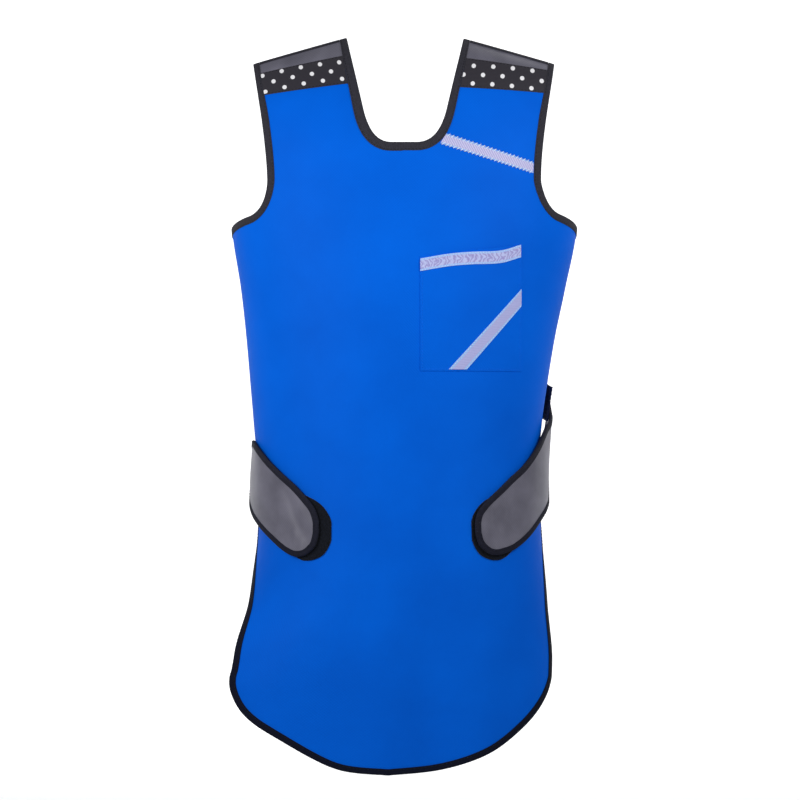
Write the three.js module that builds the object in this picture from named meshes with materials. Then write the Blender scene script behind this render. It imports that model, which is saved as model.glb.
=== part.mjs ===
// Frontal lead x-ray apron, in the shape that it takes on its wearer.
// Millimetres, +Z up. The front faces -Y, and left and right are as seen from the front.
// The origin lies midway between the two shoulders, at the height of their crests.

import * as THREE from 'three';

const { clamp, degToRad, lerp, radToDeg } = THREE.MathUtils;

// Thickness of each sheet, and the play between sheets that lie on each other
const PANEL = 3;
const WING = 2.4;
const WEBBING = 1.6;
const POCKET = 1.2;
const LOOP = 1.2;
const RIBBON = 1;
const TAPE = 0.9;
const PLAY = 0.5;
const TAPE_PLAY = 1.4;
const WING_TAPE_PLAY = 0.9;

// Widths of the flat goods, and how far the binding tapes reach in from an edge
const ELASTIC_WIDTH = 46;
const STRAP_WIDTH = 50;
const POCKET_RIBBON_WIDTH = 16;
const CAP_REACH = 5.5;
const WING_REACH = 6.2;

// Heights that divide the apron, and the middle of a shoulder strap
const SHOULDER = 138;
const CREST = -6;
const SEAM = -43;
const STRAP_FOOT = -180;
const SHELF = -223;
const UNDERARM = -243;
const HEM_BOTTOM = -936;

// How finely the sheets are divided
const COLUMNS = 11;
const SIDE_ROWS = 16;
const TURN_COLUMN = 6;
const ARMHOLE_ROWS = { curve: 6, strap: 5 };
const NECK_ROWS = { chest: 4, curve: 4, strap: 2 };
const CAP_ROWS = 4;
const CAP_COLUMNS = 6;
const BAND_ROWS = 5;
const BAND_COLUMNS = 8;
const POCKET_ROWS = 6;
const POCKET_COLUMNS = 12;
const SLANT_ROWS = 8;
const WING_ROWS = 3;
const WEBBING_ROWS = 2;
const WIDEST_STEP = 5;

const SIDES = { left: -1, right: 1 };

// A table with named columns
function table(columns, ...rows) {
  return rows.map((row) => Object.fromEntries(columns.map((column, i) => [column, row[i]])));
}

// Level sections through the worn form, from below the hem to above the shoulder crest: the
// height at the strap middle, the centre and both half widths, the depth to the front and the
// back, how steeply the section falls toward the arms, and how many degrees round the panel goes
const SECTIONS = table(
  ['height', 'centre', 'left', 'right', 'front', 'back', 'fall', 'wrapLeft', 'wrapRight'],
  [-960, -22, 286, 229, 137, 128, 0, 48, 72],
  [-835, -18.8, 276.5, 220, 135, 126, 0, 48, 72],
  [-790, -14.2, 254, 214, 134, 124, 0, 53, 73.5],
  [-725, -8.3, 206.5, 198, 133, 120, 0, 68, 78],
  [-655, -6.5, 185, 187, 131, 116, 0, 88, 89],
  [-550, -8, 183.5, 184, 127, 112, 0, 108, 108],
  [-487, -8.3, 188, 189, 128.5, 112, 0, 110, 110],
  [-440, -6.3, 194, 193.5, 130, 113, 0, 110, 110],
  [-377, -4.3, 201.5, 202, 131, 115, 0, 108, 108],
  [-315, -1.7, 211, 212.5, 131, 116, 0, 104, 104],
  [-235, 0, 224.5, 226, 127, 113, 0, 98, 98],
  [-135, 0, 226, 226, 112, 100, 0, 98, 98],
  [-95, 0, 226, 226, 99, 88, 0.04, 98, 98],
  [-56, 0, 226, 226, 78, 68, 0.12, 98, 98],
  [-24, 0, 225.5, 225.5, 50, 42, 0.2, 98, 98],
  [0, 0, 225, 225, 8, 8, 0.3, 98, 98],
  [8, 0, 225, 225, -8, -8, 0.33, 98, 98],
);

// Soft folds that run up from the hem: where round the front, how high they reach, how far they
// swell out or sink in, and how wide they are in degrees
const FOLDS = table(
  ['angle', 'top', 'swell', 'spread'],
  [-34, -620, 3, 8],
  [-14, -640, -3, 8],
  [12, -640, -4, 8],
  [32, -600, 4, 10],
);

// The hem from the middle to each lower corner: how the columns crowd toward the corner, and the
// height on the way there
const HEM = {
  left: {
    power: 1.6,
    line: table(
      ['turn', 'height'],
      [0, HEM_BOTTOM], [0.2, -932], [0.3, -923], [0.5, -891], [0.7, -861], [0.9, -822], [1, -811],
    ),
  },
  right: {
    power: 2,
    line: table(
      ['turn', 'height'],
      [0, HEM_BOTTOM], [0.2, -930], [0.4, -911], [0.6, -881], [0.9, -831], [1, -817],
    ),
  },
};

// How far the tapes on the edge and on the neck reach in at each height
const EDGE_REACH = table(
  ['height', 'reach'],
  [-939, 6.8], [-900, 7.8], [-830, 9], [-700, 9.2], [-243, 9], [-215, 9], [-170, 10.2], [-100, 9.6],
  [-50, 7.6], [0, 6.6],
);
const NECK_REACH = {
  left: table(['height', 'reach'], [-140, 10.4], [-115, 12], [-70, 11], [0, 8]),
  right: table(['height', 'reach'], [-140, 10.4], [-115, 10], [-70, 9], [0, 7.4]),
};
const BAND_GAP = 0.5;

// The armhole from where it leaves the underarm to the strap, in degrees round and height
const ARMHOLE = {
  left: { turnHeight: -225, pull: { angle: 51.5, height: -221 } },
  right: { turnHeight: -221.5, pull: { angle: 53, height: -216 } },
  strap: { angle: 50.5, height: STRAP_FOOT },
  crestAngle: 60.6,
  bend: 1.5,
};

// The neck from the middle to the strap, across and height
const NECK = {
  bottom: -133,
  flat: 16,
  sideHeight: -88,
  left: { pull: 43.5, sideAcross: 54.2, crestAcross: 75.6 },
  right: { pull: 46, sideAcross: 57, crestAcross: 79 },
};

// The ribbon with dots over each shoulder seam: its lower and upper edge at either end
const DOTTED_BAND = {
  left: { neck: { low: -61.3, high: -27 }, arm: { low: -61.3, high: -27 } },
  right: { neck: { low: -65.6, high: -29.5 }, arm: { low: -58, high: -21.5 } },
};

// Corners of the chest ribbon, the pocket and the ribbon that slants over the pocket
const SHOULDER_RIBBON = {
  lowLeft: [46, -133.6],
  lowRight: [165.4, -169.5],
  highRight: [165.8, -155.5],
  highLeft: [54, -121.6],
};
const CHEST_POCKET = {
  lowLeft: [20.5, -424],
  lowRight: [150, -424],
  highRight: [150, -262],
  highLeft: [20.5, -278.5],
};
const SLANT_RIBBON = {
  lowLeft: [56.2, -422],
  lowRight: [79.2, -422],
  highRight: [149, -340.4],
  highLeft: [149, -318.6],
};

// Middle line of the ribbon on the pocket mouth, which waves a little
const MOUTH_RIBBON = table(
  ['across', 'middle'],
  [20.5, -289.5], [58, -283], [84, -280.5], [122, -278], [148.5, -270],
);

// The black loop patch on the panel: the left one, and how the right one differs
const LOOP_PATCH = table(
  ['angle', 'top', 'bottom'],
  [28.3, -617, -640], [29.2, -609, -648], [31.5, -599, -658.5], [34.7, -591, -664],
  [38.2, -586, -666.5], [42.4, -581, -665.5], [48, -575, -657], [58, -560, -632],
);
const LOOP_SHIFT = { left: { angle: -0.5, height: 0 }, right: { angle: 1.6, height: 0.5 } };

// Belt wings from the round tip to the narrow rear end: degrees round, the two edges, and how far
// each edge is lifted off the worn form
const WING_COLUMNS = ['angle', 'top', 'bottom', 'topLift', 'lowLift'];
const WINGS = {
  left: table(
    WING_COLUMNS,
    [33.4, -616, -632, 6.9, 6.9], [34.4, -606, -644.5, 6.9, 6.9], [36, -597, -651.5, 6.9, 6.9],
    [38.6, -588.5, -658, 6.9, 6.9], [41.4, -580, -660.5, 6.9, 6.9], [44.9, -571, -660.5, 6.9, 6.9],
    [50.8, -559.5, -654.5, 6.9, 6.9], [60, -543, -641, 7, 7.3], [72, -523, -624, 7.2, 9],
    [82, -515, -610, 5.4, 11], [91, -516.5, -594, 5.2, 12.8], [99, -519, -568, 8.4, 11.8],
    [107, -518, -551, 9.4, 9.4],
  ),
  right: table(
    WING_COLUMNS,
    [31.4, -617, -632, 6.9, 6.9], [32.4, -607, -643, 6.9, 6.9], [34.2, -599.5, -650.5, 6.9, 6.9],
    [37, -591, -656.5, 6.9, 6.9], [40, -584, -658.5, 6.9, 6.9], [44.2, -575, -657, 6.9, 6.9],
    [50.6, -561.5, -652, 6.9, 6.9], [60, -545.5, -639, 7.1, 7.1], [72, -521, -620, 7.6, 8],
    [82, -497, -605, 9.4, 11.4], [91, -485, -589, 14, 13.8], [97, -475, -554, 14.2, 14.4],
    [103, -458, -504, 13.6, 13.6],
  ),
};

// The elastic from under the right wing round the back to under the left wing
const ELASTIC = table(
  ['angle', 'middle', 'lift'],
  [94, -465, 9.8], [98, -464.5, 9.8], [103, -462, 8.8], [115, -452, 6], [135, -440, 4], [180, -432, 3.2],
  [225, -456, 3.5], [245, -508, 5], [253, -533, 5.2], [261, -543, 4.4],
);

// Middle line of a back strap, from inside the elastic up the back, over the crest, to under the cap
const BACK_STRAP = table(
  ['across', 'height', 'lift', 'front'],
  [60, -456, 1.3, false], [70, -370, 1, false], [88, -270, 0, false], [108, -160, 0, false],
  [120, -100, 0, false], [128, -56, 0, false], [134, -24, -1.5, false], [137, -8, -3.4, false],
  [138, -8, -4.9, true], [138, -18, -4.9, true], [138, -32, -4.9, true],
);

// One row of a table at any key, on smooth curves through its rows
function sample(rows, key, at) {
  const last = rows.length - 1;
  const above = rows.findIndex((row) => row[key] > at);
  const i = above < 0 ? last - 1 : Math.max(above - 1, 0);
  const span = rows[i + 1][key] - rows[i][key];
  const t = clamp((at - rows[i][key]) / span, 0, 1);
  const slope = (k, column) => {
    const before = rows[Math.max(k - 1, 0)];
    const after = rows[Math.min(k + 1, last)];
    return (after[column] - before[column]) / (after[key] - before[key]);
  };
  const between = (column) => {
    const rise = span * (t * (1 - t) ** 2 * slope(i, column) - t ** 2 * (1 - t) * slope(i + 1, column));
    return lerp(rows[i][column], rows[i + 1][column], t * t * (3 - 2 * t)) + rise;
  };
  return Object.fromEntries(Object.keys(rows[0]).map((column) => [column, between(column)]));
}

// How far the folds push the form out
function ripple(angle, height) {
  return FOLDS.reduce((sum, fold) => {
    const down = THREE.MathUtils.smoothstep(fold.top - height, 0, fold.top - HEM_BOTTOM);
    return sum + fold.swell * down * Math.exp(-(((angle - fold.angle) / fold.spread) ** 2));
  }, 0);
}

// A point on the worn form, by degrees round from the middle of the front and by height
function skin(angle, height) {
  const section = sample(SECTIONS, 'height', height);
  const turn = degToRad(angle);
  const push = ripple(angle, height);
  const half = Math.sin(turn) < 0 ? section.left : section.right;
  const depth = Math.cos(turn) > 0 ? section.front : section.back;
  const x = section.centre + (half + push) * Math.sin(turn);
  const y = -(depth + push) * Math.cos(turn);
  return new THREE.Vector3(x, y, height - section.fall * (Math.abs(x) - SHOULDER));
}

// The form's directions at a spot: round per degree, up per millimetre of height, and straight out
function directions({ angle, height }) {
  const step = 0.05;
  const round = skin(angle + step, height).sub(skin(angle - step, height)).divideScalar(2 * step);
  const up = skin(angle, height + step).sub(skin(angle, height - step)).divideScalar(2 * step);
  return { round, up, out: round.clone().cross(up).normalize() };
}

// A spot is an angle, a height and a lift off the form; this is its point in space
function place(spot, extra = 0) {
  return skin(spot.angle, spot.height).addScaledVector(directions(spot).out, (spot.lift ?? 0) + extra);
}

// The spot that lies a distance away along the form
function aside(spot, direction, distance) {
  const { round, up } = directions(spot);
  const [rr, uu, ru] = [round.dot(round), up.dot(up), round.dot(up)];
  const [r, u] = [direction.dot(round), direction.dot(up)];
  const scale = distance / (rr * uu - ru * ru);
  return {
    ...spot,
    angle: spot.angle + scale * (r * uu - u * ru),
    height: spot.height + scale * (u * rr - r * ru),
  };
}

// The spot at a distance across from the middle
function spotAcross(across, height) {
  const { centre, left, right } = sample(SECTIONS, 'height', height);
  const offset = across - centre;
  return { angle: radToDeg(Math.asin(offset / (offset < 0 ? left : right))), height };
}

// Directions along the form that point to the right of a path, mitred at its corners
function rightOf(path) {
  const points = path.map((spot) => place(spot));
  const legs = points.slice(1).map((point, i) => point.clone().sub(points[i]));
  return path.map((spot, i) => {
    const { out } = directions(spot);
    const sides = [legs[i - 1], legs[i]].filter(Boolean).map((leg) => leg.clone().cross(out).normalize());
    const [before, after] = [sides[0], sides.at(-1)];
    return before.clone().add(after).divideScalar(1 + before.dot(after));
  });
}

function solid(points, faces) {
  const geometry = new THREE.BufferGeometry();
  const numbers = points.flatMap((point) => point.toArray());
  geometry.setAttribute('position', new THREE.Float32BufferAttribute(numbers, 3));
  geometry.setIndex(faces.flat());
  geometry.computeVertexNormals();
  return geometry;
}

// A sheet of even thickness over patches of spots that share their seams. A patch is rows from
// the bottom up, and a row runs from left to right as seen from outside.
function sheet(patches, low, high) {
  const spots = [];
  const numbers = new Map();
  const numberOf = (spot) => {
    const key = `${spot.angle.toFixed(3)} ${spot.height.toFixed(3)}`;
    if (!numbers.has(key)) {
      numbers.set(key, spots.push(spot) - 1);
    }
    return numbers.get(key);
  };
  const quads = patches.flatMap((rows) => {
    const grid = rows.map((row) => row.map(numberOf));
    return grid.slice(1).flatMap((upper, i) => upper.slice(1).map((corner, j) => (
      [grid[i][j], grid[i][j + 1], corner, upper[j]]
    )));
  });
  const inner = spots.length;
  const faces = quads.flatMap(([a, b, c, d]) => [
    [a, b, c], [a, c, d], [inner + a, inner + c, inner + b], [inner + a, inner + d, inner + c],
  ]);
  const edges = quads.flatMap((quad) => quad.map((from, k) => [from, quad[(k + 1) % 4]]));
  const known = new Set(edges.map(([from, to]) => `${from} ${to}`));
  const rim = edges.filter(([from, to]) => !known.has(`${to} ${from}`));
  rim.forEach(([from, to]) => {
    faces.push([to, from, inner + from], [to, inner + from, inner + to]);
  });
  const points = [high, low].flatMap((lift) => spots.map((spot) => place(spot, lift)));
  return solid(points, faces);
}

// A tape folded over an edge, with a flap on either side, along a path that keeps the sheet on its left
const TAPE_END = [[0, 1, 8, 9], [1, 2, 8], [2, 3, 7, 8], [3, 4, 7], [4, 5, 6, 7]];

function binding(path, thickness, play, liftAt = () => 0) {
  const hug = thickness / 2 + play;
  const crown = hug + TAPE;
  const [edge, fold] = [PLAY, PLAY + TAPE];
  const outward = rightOf(path);
  const rings = path.map((spot, i) => {
    const section = [
      [-spot.reach, crown], [edge, crown], [fold, hug], [fold, -hug], [edge, -crown],
      [-spot.reach, -crown], [-spot.reach, -hug], [edge, -hug], [edge, hug], [-spot.reach, hug],
    ];
    return section.map(([out, lift]) => {
      const beside = aside(spot, outward[i], out);
      return place({ ...beside, lift: liftAt(beside) }, lift);
    });
  });
  const size = rings[0].length;
  const faces = [];
  for (let ring = 0; ring < rings.length - 1; ring += 1) {
    for (let k = 0; k < size; k += 1) {
      const [a, b] = [ring * size + k, ring * size + (k + 1) % size];
      faces.push([a, b, b + size], [a, b + size, a + size]);
    }
  }
  const tail = (rings.length - 1) * size;
  TAPE_END.forEach(([first, ...rest]) => {
    rest.slice(1).forEach((corner, k) => {
      faces.push([first, corner, rest[k]], [tail + first, tail + rest[k], tail + corner]);
    });
  });
  return solid(rings.flat(), faces);
}

// Evenly spaced numbers from one value to another
function steps(from, to, count) {
  return Array.from({ length: count + 1 }, (_, i) => lerp(from, to, i / count));
}

// Spots on a straight or bent line between spots
function spotLine(from, to, count, pull) {
  return steps(0, 1, count).map((t) => {
    const [a, b] = pull ? [between(from, pull, t), between(pull, to, t)] : [from, to];
    return between(a, b, t);
  });
}

function between(from, to, t) {
  return { angle: lerp(from.angle, to.angle, t), height: lerp(from.height, to.height, t) };
}

// How far round the panel reaches on one side
function wrap(side, height) {
  const corner = HEM[side].line.at(-1).height;
  const section = sample(SECTIONS, 'height', Math.max(height, corner));
  return side === 'left' ? section.wrapLeft : section.wrapRight;
}

// The right-hand edges of a strap; the left ones mirror them
function armEdge(height) {
  const t = Math.max((height - STRAP_FOOT) / (CREST - STRAP_FOOT), 0);
  return { angle: lerp(ARMHOLE.strap.angle, ARMHOLE.crestAngle, t ** ARMHOLE.bend), height };
}

function neckEdge(side, height) {
  const { sideAcross, crestAcross } = NECK[side];
  const t = (height - NECK.sideHeight) / (CREST - NECK.sideHeight);
  return spotAcross(lerp(sideAcross, crestAcross, t), height);
}

// How far the tapes reach in at a height
function edgeReach(height) {
  return sample(EDGE_REACH, 'height', height).reach;
}

function neckReach(side, height) {
  return sample(NECK_REACH[side], 'height', height).reach;
}

// The spot at a distance round from an edge
function inside(edge, distance) {
  return { ...edge, angle: edge.angle + distance / directions(edge).round.length() };
}

function mirrored(side, spot) {
  return { ...spot, angle: SIDES[side] * spot.angle };
}

// A patch drawn for the right side, on either side
function patchOn(side, rows) {
  if (side === 'right') {
    return rows;
  }
  return rows.map((row) => row.map((spot) => mirrored(side, spot)).reverse());
}

// Rows of the panel's half on one side, drawn as on the right, from the middle to the edge
function panelRows(side) {
  const { power, line } = HEM[side];
  const { turnHeight, pull } = ARMHOLE[side];
  const widest = wrap(side, HEM_BOTTOM);
  const hem = steps(0, 1, COLUMNS).map((turn) => {
    const across = Math.sin((turn * Math.PI) / 2) ** (2 / power) * Math.sin(degToRad(widest));
    return { share: radToDeg(Math.asin(across)) / widest, height: sample(line, 'turn', turn).height };
  });
  const turnShare = hem[TURN_COLUMN].share;
  const lower = steps(0, 1, SIDE_ROWS).map((t) => hem.map((column) => {
    const toTurn = Math.min(column.share / turnShare, 1);
    const pastTurn = Math.max(column.share - turnShare, 0) / (1 - turnShare);
    const shelf = lerp(lerp(SHELF, turnHeight, toTurn), UNDERARM, pastTurn);
    const height = lerp(column.height, shelf, t);
    return { angle: column.share * wrap(side, height), height };
  }));
  const turn = lower.at(-1)[TURN_COLUMN];
  const outer = [
    ...spotLine(turn, ARMHOLE.strap, ARMHOLE_ROWS.curve, pull).slice(1),
    ...steps(STRAP_FOOT, SEAM, ARMHOLE_ROWS.strap).slice(1).map(armEdge),
  ];
  const neckBottom = { angle: 0, height: NECK.bottom };
  const neckFlat = spotAcross(NECK.flat, NECK.bottom);
  const neckSide = neckEdge(side, NECK.sideHeight);
  const neckPull = spotAcross(NECK[side].pull, NECK.bottom);
  const chest = spotLine(lower.at(-1)[0], neckBottom, NECK_ROWS.chest).slice(1);
  const neck = [
    neckFlat,
    ...spotLine(neckFlat, neckSide, NECK_ROWS.curve, neckPull).slice(1),
    ...steps(NECK.sideHeight, SEAM, NECK_ROWS.strap).slice(1).map((height) => neckEdge(side, height)),
  ];
  const inner = [...chest, ...neck];
  const shares = hem.slice(0, TURN_COLUMN + 1).map(({ share }) => share / turnShare);
  const upper = outer.map((edge, i) => shares.map((share) => between(inner[i], edge, share)));
  return { lower, upper, neck: [neckBottom, ...neck] };
}

// Rows of a shoulder cap, drawn as on the right
function capRows(side) {
  return steps(SEAM + PLAY, CREST, CAP_ROWS).map((height) => (
    steps(0, 1, CAP_COLUMNS).map((t) => between(neckEdge(side, height), armEdge(height), t))
  ));
}

// The outline from a shoulder crest down to the middle of the hem, and down to the middle of the neck
function outline(side) {
  const { lower, upper, neck } = panelRows(side);
  const cap = capRows(side).slice(1).reverse();
  const edge = [
    ...cap.map((row) => row.at(-1)),
    ...upper.map((row) => row.at(-1)).reverse(),
    ...lower.at(-1).slice(TURN_COLUMN, -1),
    ...lower.map((row) => row.at(-1)).reverse(),
    ...lower[0].slice(0, -1).reverse(),
  ];
  const throat = [...cap.map((row) => row[0]), ...neck.reverse()];
  const finish = (spot, reach) => ({ ...mirrored(side, spot), reach });
  return {
    edge: edge.map((spot) => finish(spot, edgeReach(spot.height))),
    throat: throat.map((spot) => finish(spot, neckReach(side, spot.height))),
  };
}

// The crest of a cap between the tapes on its two edges
function crestPath(side) {
  const neckEnd = inside(neckEdge(side, CREST), neckReach(side, CREST) + PLAY);
  const armEnd = inside(armEdge(CREST), -edgeReach(CREST) - PLAY);
  const line = spotLine(armEnd, neckEnd, CAP_COLUMNS);
  const path = line.map((spot) => ({ ...mirrored(side, spot), reach: CAP_REACH }));
  return side === 'right' ? path : path.reverse();
}

// The dotted ribbon between the tapes on the two edges of a strap
function bandRows(side) {
  const { neck, arm } = DOTTED_BAND[side];
  return steps(0, 1, BAND_ROWS).map((up) => steps(0, 1, BAND_COLUMNS).map((t) => {
    const height = lerp(lerp(neck.low, neck.high, up), lerp(arm.low, arm.high, up), t);
    const neckEnd = inside(neckEdge(side, height), neckReach(side, height) + BAND_GAP);
    const armEnd = inside(armEdge(height), -edgeReach(height) - BAND_GAP);
    return between(neckEnd, armEnd, t);
  }));
}

// A four-cornered patch, by its corners across and in height
function cornerRows({ lowLeft, lowRight, highRight, highLeft }, columns, rows) {
  const mix = (from, to, t) => from.map((value, k) => lerp(value, to[k], t));
  return steps(0, 1, rows).map((v) => {
    const [start, end] = [mix(lowLeft, highLeft, v), mix(lowRight, highRight, v)];
    return steps(0, 1, columns).map((u) => spotAcross(...mix(start, end, u)));
  });
}

// The ribbon along the pocket mouth
function mouthRows() {
  const [first, last] = [MOUTH_RIBBON[0].across, MOUTH_RIBBON.at(-1).across];
  return steps(-0.5, 0.5, 2).map((v) => steps(first, last, POCKET_COLUMNS).map((across) => (
    spotAcross(across, sample(MOUTH_RIBBON, 'across', across).middle + v * POCKET_RIBBON_WIDTH)
  )));
}

// The angles of a table's rows, with more between rows that lie far apart
function stations(rows) {
  return rows.flatMap((row, i) => {
    const next = rows[i + 1];
    if (!next) {
      return [row.angle];
    }
    const count = Math.ceil((next.angle - row.angle) / WIDEST_STEP);
    return steps(row.angle, next.angle, count).slice(0, -1);
  });
}

// Rows between the top and bottom edges that a table gives
function stripRows(rows, count) {
  const columns = stations(rows).map((angle) => sample(rows, 'angle', angle));
  return steps(0, 1, count).map((t) => columns.map(({ angle, top, bottom, topLift, lowLift }) => (
    { angle, height: lerp(bottom, top, t), lift: lerp(lowLift, topLift, t) }
  )));
}

function loopRows(side) {
  const shift = LOOP_SHIFT[side];
  const moved = LOOP_PATCH.map(({ angle, top, bottom }) => ({
    angle: angle + shift.angle, top: top + shift.height, bottom: bottom + shift.height,
    topLift: 0, lowLift: 0,
  }));
  return stripRows(moved, WING_ROWS);
}

function wingRows(side) {
  return stripRows(WINGS[side], WING_ROWS);
}

// How far a wing is lifted off the form at any spot
function wingLift(side) {
  return ({ angle, height }) => {
    const { top, bottom, topLift, lowLift } = sample(WINGS[side], 'angle', Math.abs(angle));
    return lerp(lowLift, topLift, (height - bottom) / (top - bottom));
  };
}

// Round a wing from its rear end along one edge, past the tip and back along the other
function wingPath(side) {
  const rows = wingRows(side);
  const tip = rows.slice(1, -1).map((row) => row[0]);
  const path = [...[...rows.at(-1)].reverse(), ...tip.reverse(), ...rows[0]];
  const finished = path.map((spot) => ({ ...mirrored(side, spot), reach: WING_REACH }));
  return side === 'right' ? finished : finished.reverse();
}

function elasticRows() {
  const half = ELASTIC_WIDTH / 2;
  const strip = ELASTIC.map(({ angle, middle, lift }) => (
    { angle, top: middle + half, bottom: middle - half, topLift: lift, lowLift: lift }
  ));
  return stripRows(strip, WEBBING_ROWS);
}

// Rows across a back strap, from its foot over the crest
function strapRows(side) {
  const path = BACK_STRAP.map(({ across, height, lift, front }) => {
    const { angle } = spotAcross(SIDES[side] * across, height);
    return { angle: front ? angle : 180 - angle, height, lift };
  });
  const right = rightOf(path);
  const shares = steps(-0.5, 0.5, WEBBING_ROWS);
  return path.map((spot, i) => shares.map((share) => aside(spot, right[i], share * STRAP_WIDTH)));
}

const blueNylon = new THREE.MeshStandardMaterial({ color: 0x0062dc, roughness: 0.62 });
const greyNylon = new THREE.MeshStandardMaterial({ color: 0x5f5d6b, roughness: 0.55 });
const blackTape = new THREE.MeshStandardMaterial({ color: 0x37343c, roughness: 0.8 });
const dottedRibbon = new THREE.MeshStandardMaterial({ color: 0x34303a, roughness: 0.6 });
const lavenderRibbon = new THREE.MeshStandardMaterial({ color: 0xa9b4e0, roughness: 0.6 });
const blackLoop = new THREE.MeshStandardMaterial({ color: 0x0a0f1e, roughness: 0.95 });
const darkWebbing = new THREE.MeshStandardMaterial({ color: 0x0b1030, roughness: 0.85 });

const apron = new THREE.Group();

function add(name, geometry, material) {
  const mesh = new THREE.Mesh(geometry, material);
  mesh.name = name;
  apron.add(mesh);
}

// Lowest and highest face of a sheet that lies on another one
function onTop(base, thickness) {
  const low = base + PLAY;
  return [low, low + thickness];
}

const panelFace = PANEL / 2;
const ribbonLayer = onTop(panelFace, RIBBON);
const loopLayer = onTop(panelFace, LOOP);
const pocketLayer = onTop(panelFace, POCKET);
const pocketRibbonLayer = onTop(pocketLayer[1], RIBBON);
const left = outline('left');
const right = outline('right');
const edgePath = [...left.edge, ...right.edge.slice(0, -1).reverse()];
const neckPath = [...right.throat, ...left.throat.slice(0, -1).reverse()];

const halves = Object.keys(SIDES).map((side) => {
  const { lower, upper } = panelRows(side);
  const shelf = lower.at(-1).slice(0, TURN_COLUMN + 1);
  return [patchOn(side, lower), patchOn(side, [shelf, ...upper])];
});
add('front_panel', sheet(halves.flat(), -panelFace, panelFace), blueNylon);
add('edge_binding', binding(edgePath, PANEL, TAPE_PLAY), blackTape);
add('neck_binding', binding(neckPath, PANEL, TAPE_PLAY), blackTape);

Object.keys(SIDES).forEach((side) => {
  const patch = (rows) => [patchOn(side, rows)];
  add(`shoulder_cap_${side}`, sheet(patch(capRows(side)), -panelFace, panelFace), greyNylon);
  add(`cap_binding_${side}`, binding(crestPath(side), PANEL, TAPE_PLAY), blackTape);
  add(`dotted_band_${side}`, sheet(patch(bandRows(side)), ...ribbonLayer), dottedRibbon);
  add(`loop_patch_${side}`, sheet(patch(loopRows(side)), ...loopLayer), blackLoop);
  add(`belt_wing_${side}`, sheet(patch(wingRows(side)), -WING / 2, WING / 2), greyNylon);
  add(`wing_binding_${side}`, binding(wingPath(side), WING, WING_TAPE_PLAY, wingLift(side)), blackTape);
  add(`back_strap_${side}`, sheet([strapRows(side)], -WEBBING / 2, WEBBING / 2), darkWebbing);
});

const chestRibbon = cornerRows(SHOULDER_RIBBON, POCKET_COLUMNS, 1);
const pocket = cornerRows(CHEST_POCKET, POCKET_COLUMNS, POCKET_ROWS);
const slantRibbon = cornerRows(SLANT_RIBBON, 1, SLANT_ROWS);
add('shoulder_ribbon', sheet([chestRibbon], ...ribbonLayer), lavenderRibbon);
add('chest_pocket', sheet([pocket], ...pocketLayer), blueNylon);
add('pocket_top_ribbon', sheet([mouthRows()], ...pocketRibbonLayer), lavenderRibbon);
add('pocket_slant_ribbon', sheet([slantRibbon], ...pocketRibbonLayer), lavenderRibbon);
add('back_elastic', sheet([elasticRows()], -WEBBING / 2, WEBBING / 2), darkWebbing);

export default apron;
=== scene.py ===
# %% [markdown]
# # A frontal lead x-ray apron
#
# The apron is a heavy shielding panel in a royal blue cover. Black tape binds its edges, it hangs from
# two grey shoulder caps, and two grey belt wings hold it to the waist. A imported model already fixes
# every size and place. This lesson gives each piece its cloth, its stitches and its finish.

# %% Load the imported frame
import math
from functools import partial

import bmesh
import bpy
import numpy as np
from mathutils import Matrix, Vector


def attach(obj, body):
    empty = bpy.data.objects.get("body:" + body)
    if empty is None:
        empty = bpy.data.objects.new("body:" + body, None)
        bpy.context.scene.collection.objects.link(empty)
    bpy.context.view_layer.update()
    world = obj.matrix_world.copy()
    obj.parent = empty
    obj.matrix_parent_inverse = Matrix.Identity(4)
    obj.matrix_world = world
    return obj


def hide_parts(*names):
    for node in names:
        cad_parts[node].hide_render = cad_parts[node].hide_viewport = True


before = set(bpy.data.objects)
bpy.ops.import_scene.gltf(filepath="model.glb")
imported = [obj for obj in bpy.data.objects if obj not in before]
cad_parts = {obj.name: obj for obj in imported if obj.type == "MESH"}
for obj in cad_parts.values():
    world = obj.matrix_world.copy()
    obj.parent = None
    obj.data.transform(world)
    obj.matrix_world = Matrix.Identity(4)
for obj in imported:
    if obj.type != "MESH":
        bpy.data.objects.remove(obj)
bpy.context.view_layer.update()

# %% [markdown]
# ## The camera
#
# A long lens far away keeps the apron as flat as a catalogue picture does. The lens could be guessed,
# but two real sizes give it: how far the camera stands from the front of the apron, and how wide a
# strip of the apron's front fills the picture.

# %% Set the camera
STAND_OFF = 3.6
PICTURE_WIDTH = 1.016
FRONT = -0.13
EYE = Vector((-0.005, FRONT - STAND_OFF, -0.461))

scene = bpy.context.scene
camera = bpy.data.objects.new("camera", bpy.data.cameras.new("camera"))
scene.collection.objects.link(camera)
camera.location = EYE
camera.rotation_euler = (math.radians(90), 0, 0)
camera.data.lens = camera.data.sensor_width * STAND_OFF / PICTURE_WIDTH
scene.camera = camera
scene.view_settings.view_transform = "Standard"
print("camera: a lens of", round(camera.data.lens, 1), "mm")

# %% [markdown]
# ## One function for nodes, one for colours
#
# Every finish below is a small tree of shader nodes. A tree is easiest to read when each node is one
# line that names its settings and what feeds it, so one function adds any kind of node. A node that
# feeds another one gives its first output. Colours are written as the eye names them, in sRGB hex, and
# the shader wants them linear.

# %% Node and colour helpers
def linear(code):
    channels = [int(code[i:i + 2], 16) / 255 for i in (1, 3, 5)]
    curve = [c / 12.92 if c <= 0.04045 else ((c + 0.055) / 1.055) ** 2.4 for c in channels]
    return (*curve, 1.0)


def feed(node, inputs):
    for socket, source in inputs.items():
        if isinstance(source, bpy.types.Node):
            source = source.outputs[0]
        if isinstance(source, bpy.types.NodeSocket):
            node.id_data.links.new(source, node.inputs[socket])
        else:
            node.inputs[socket].default_value = source


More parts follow.
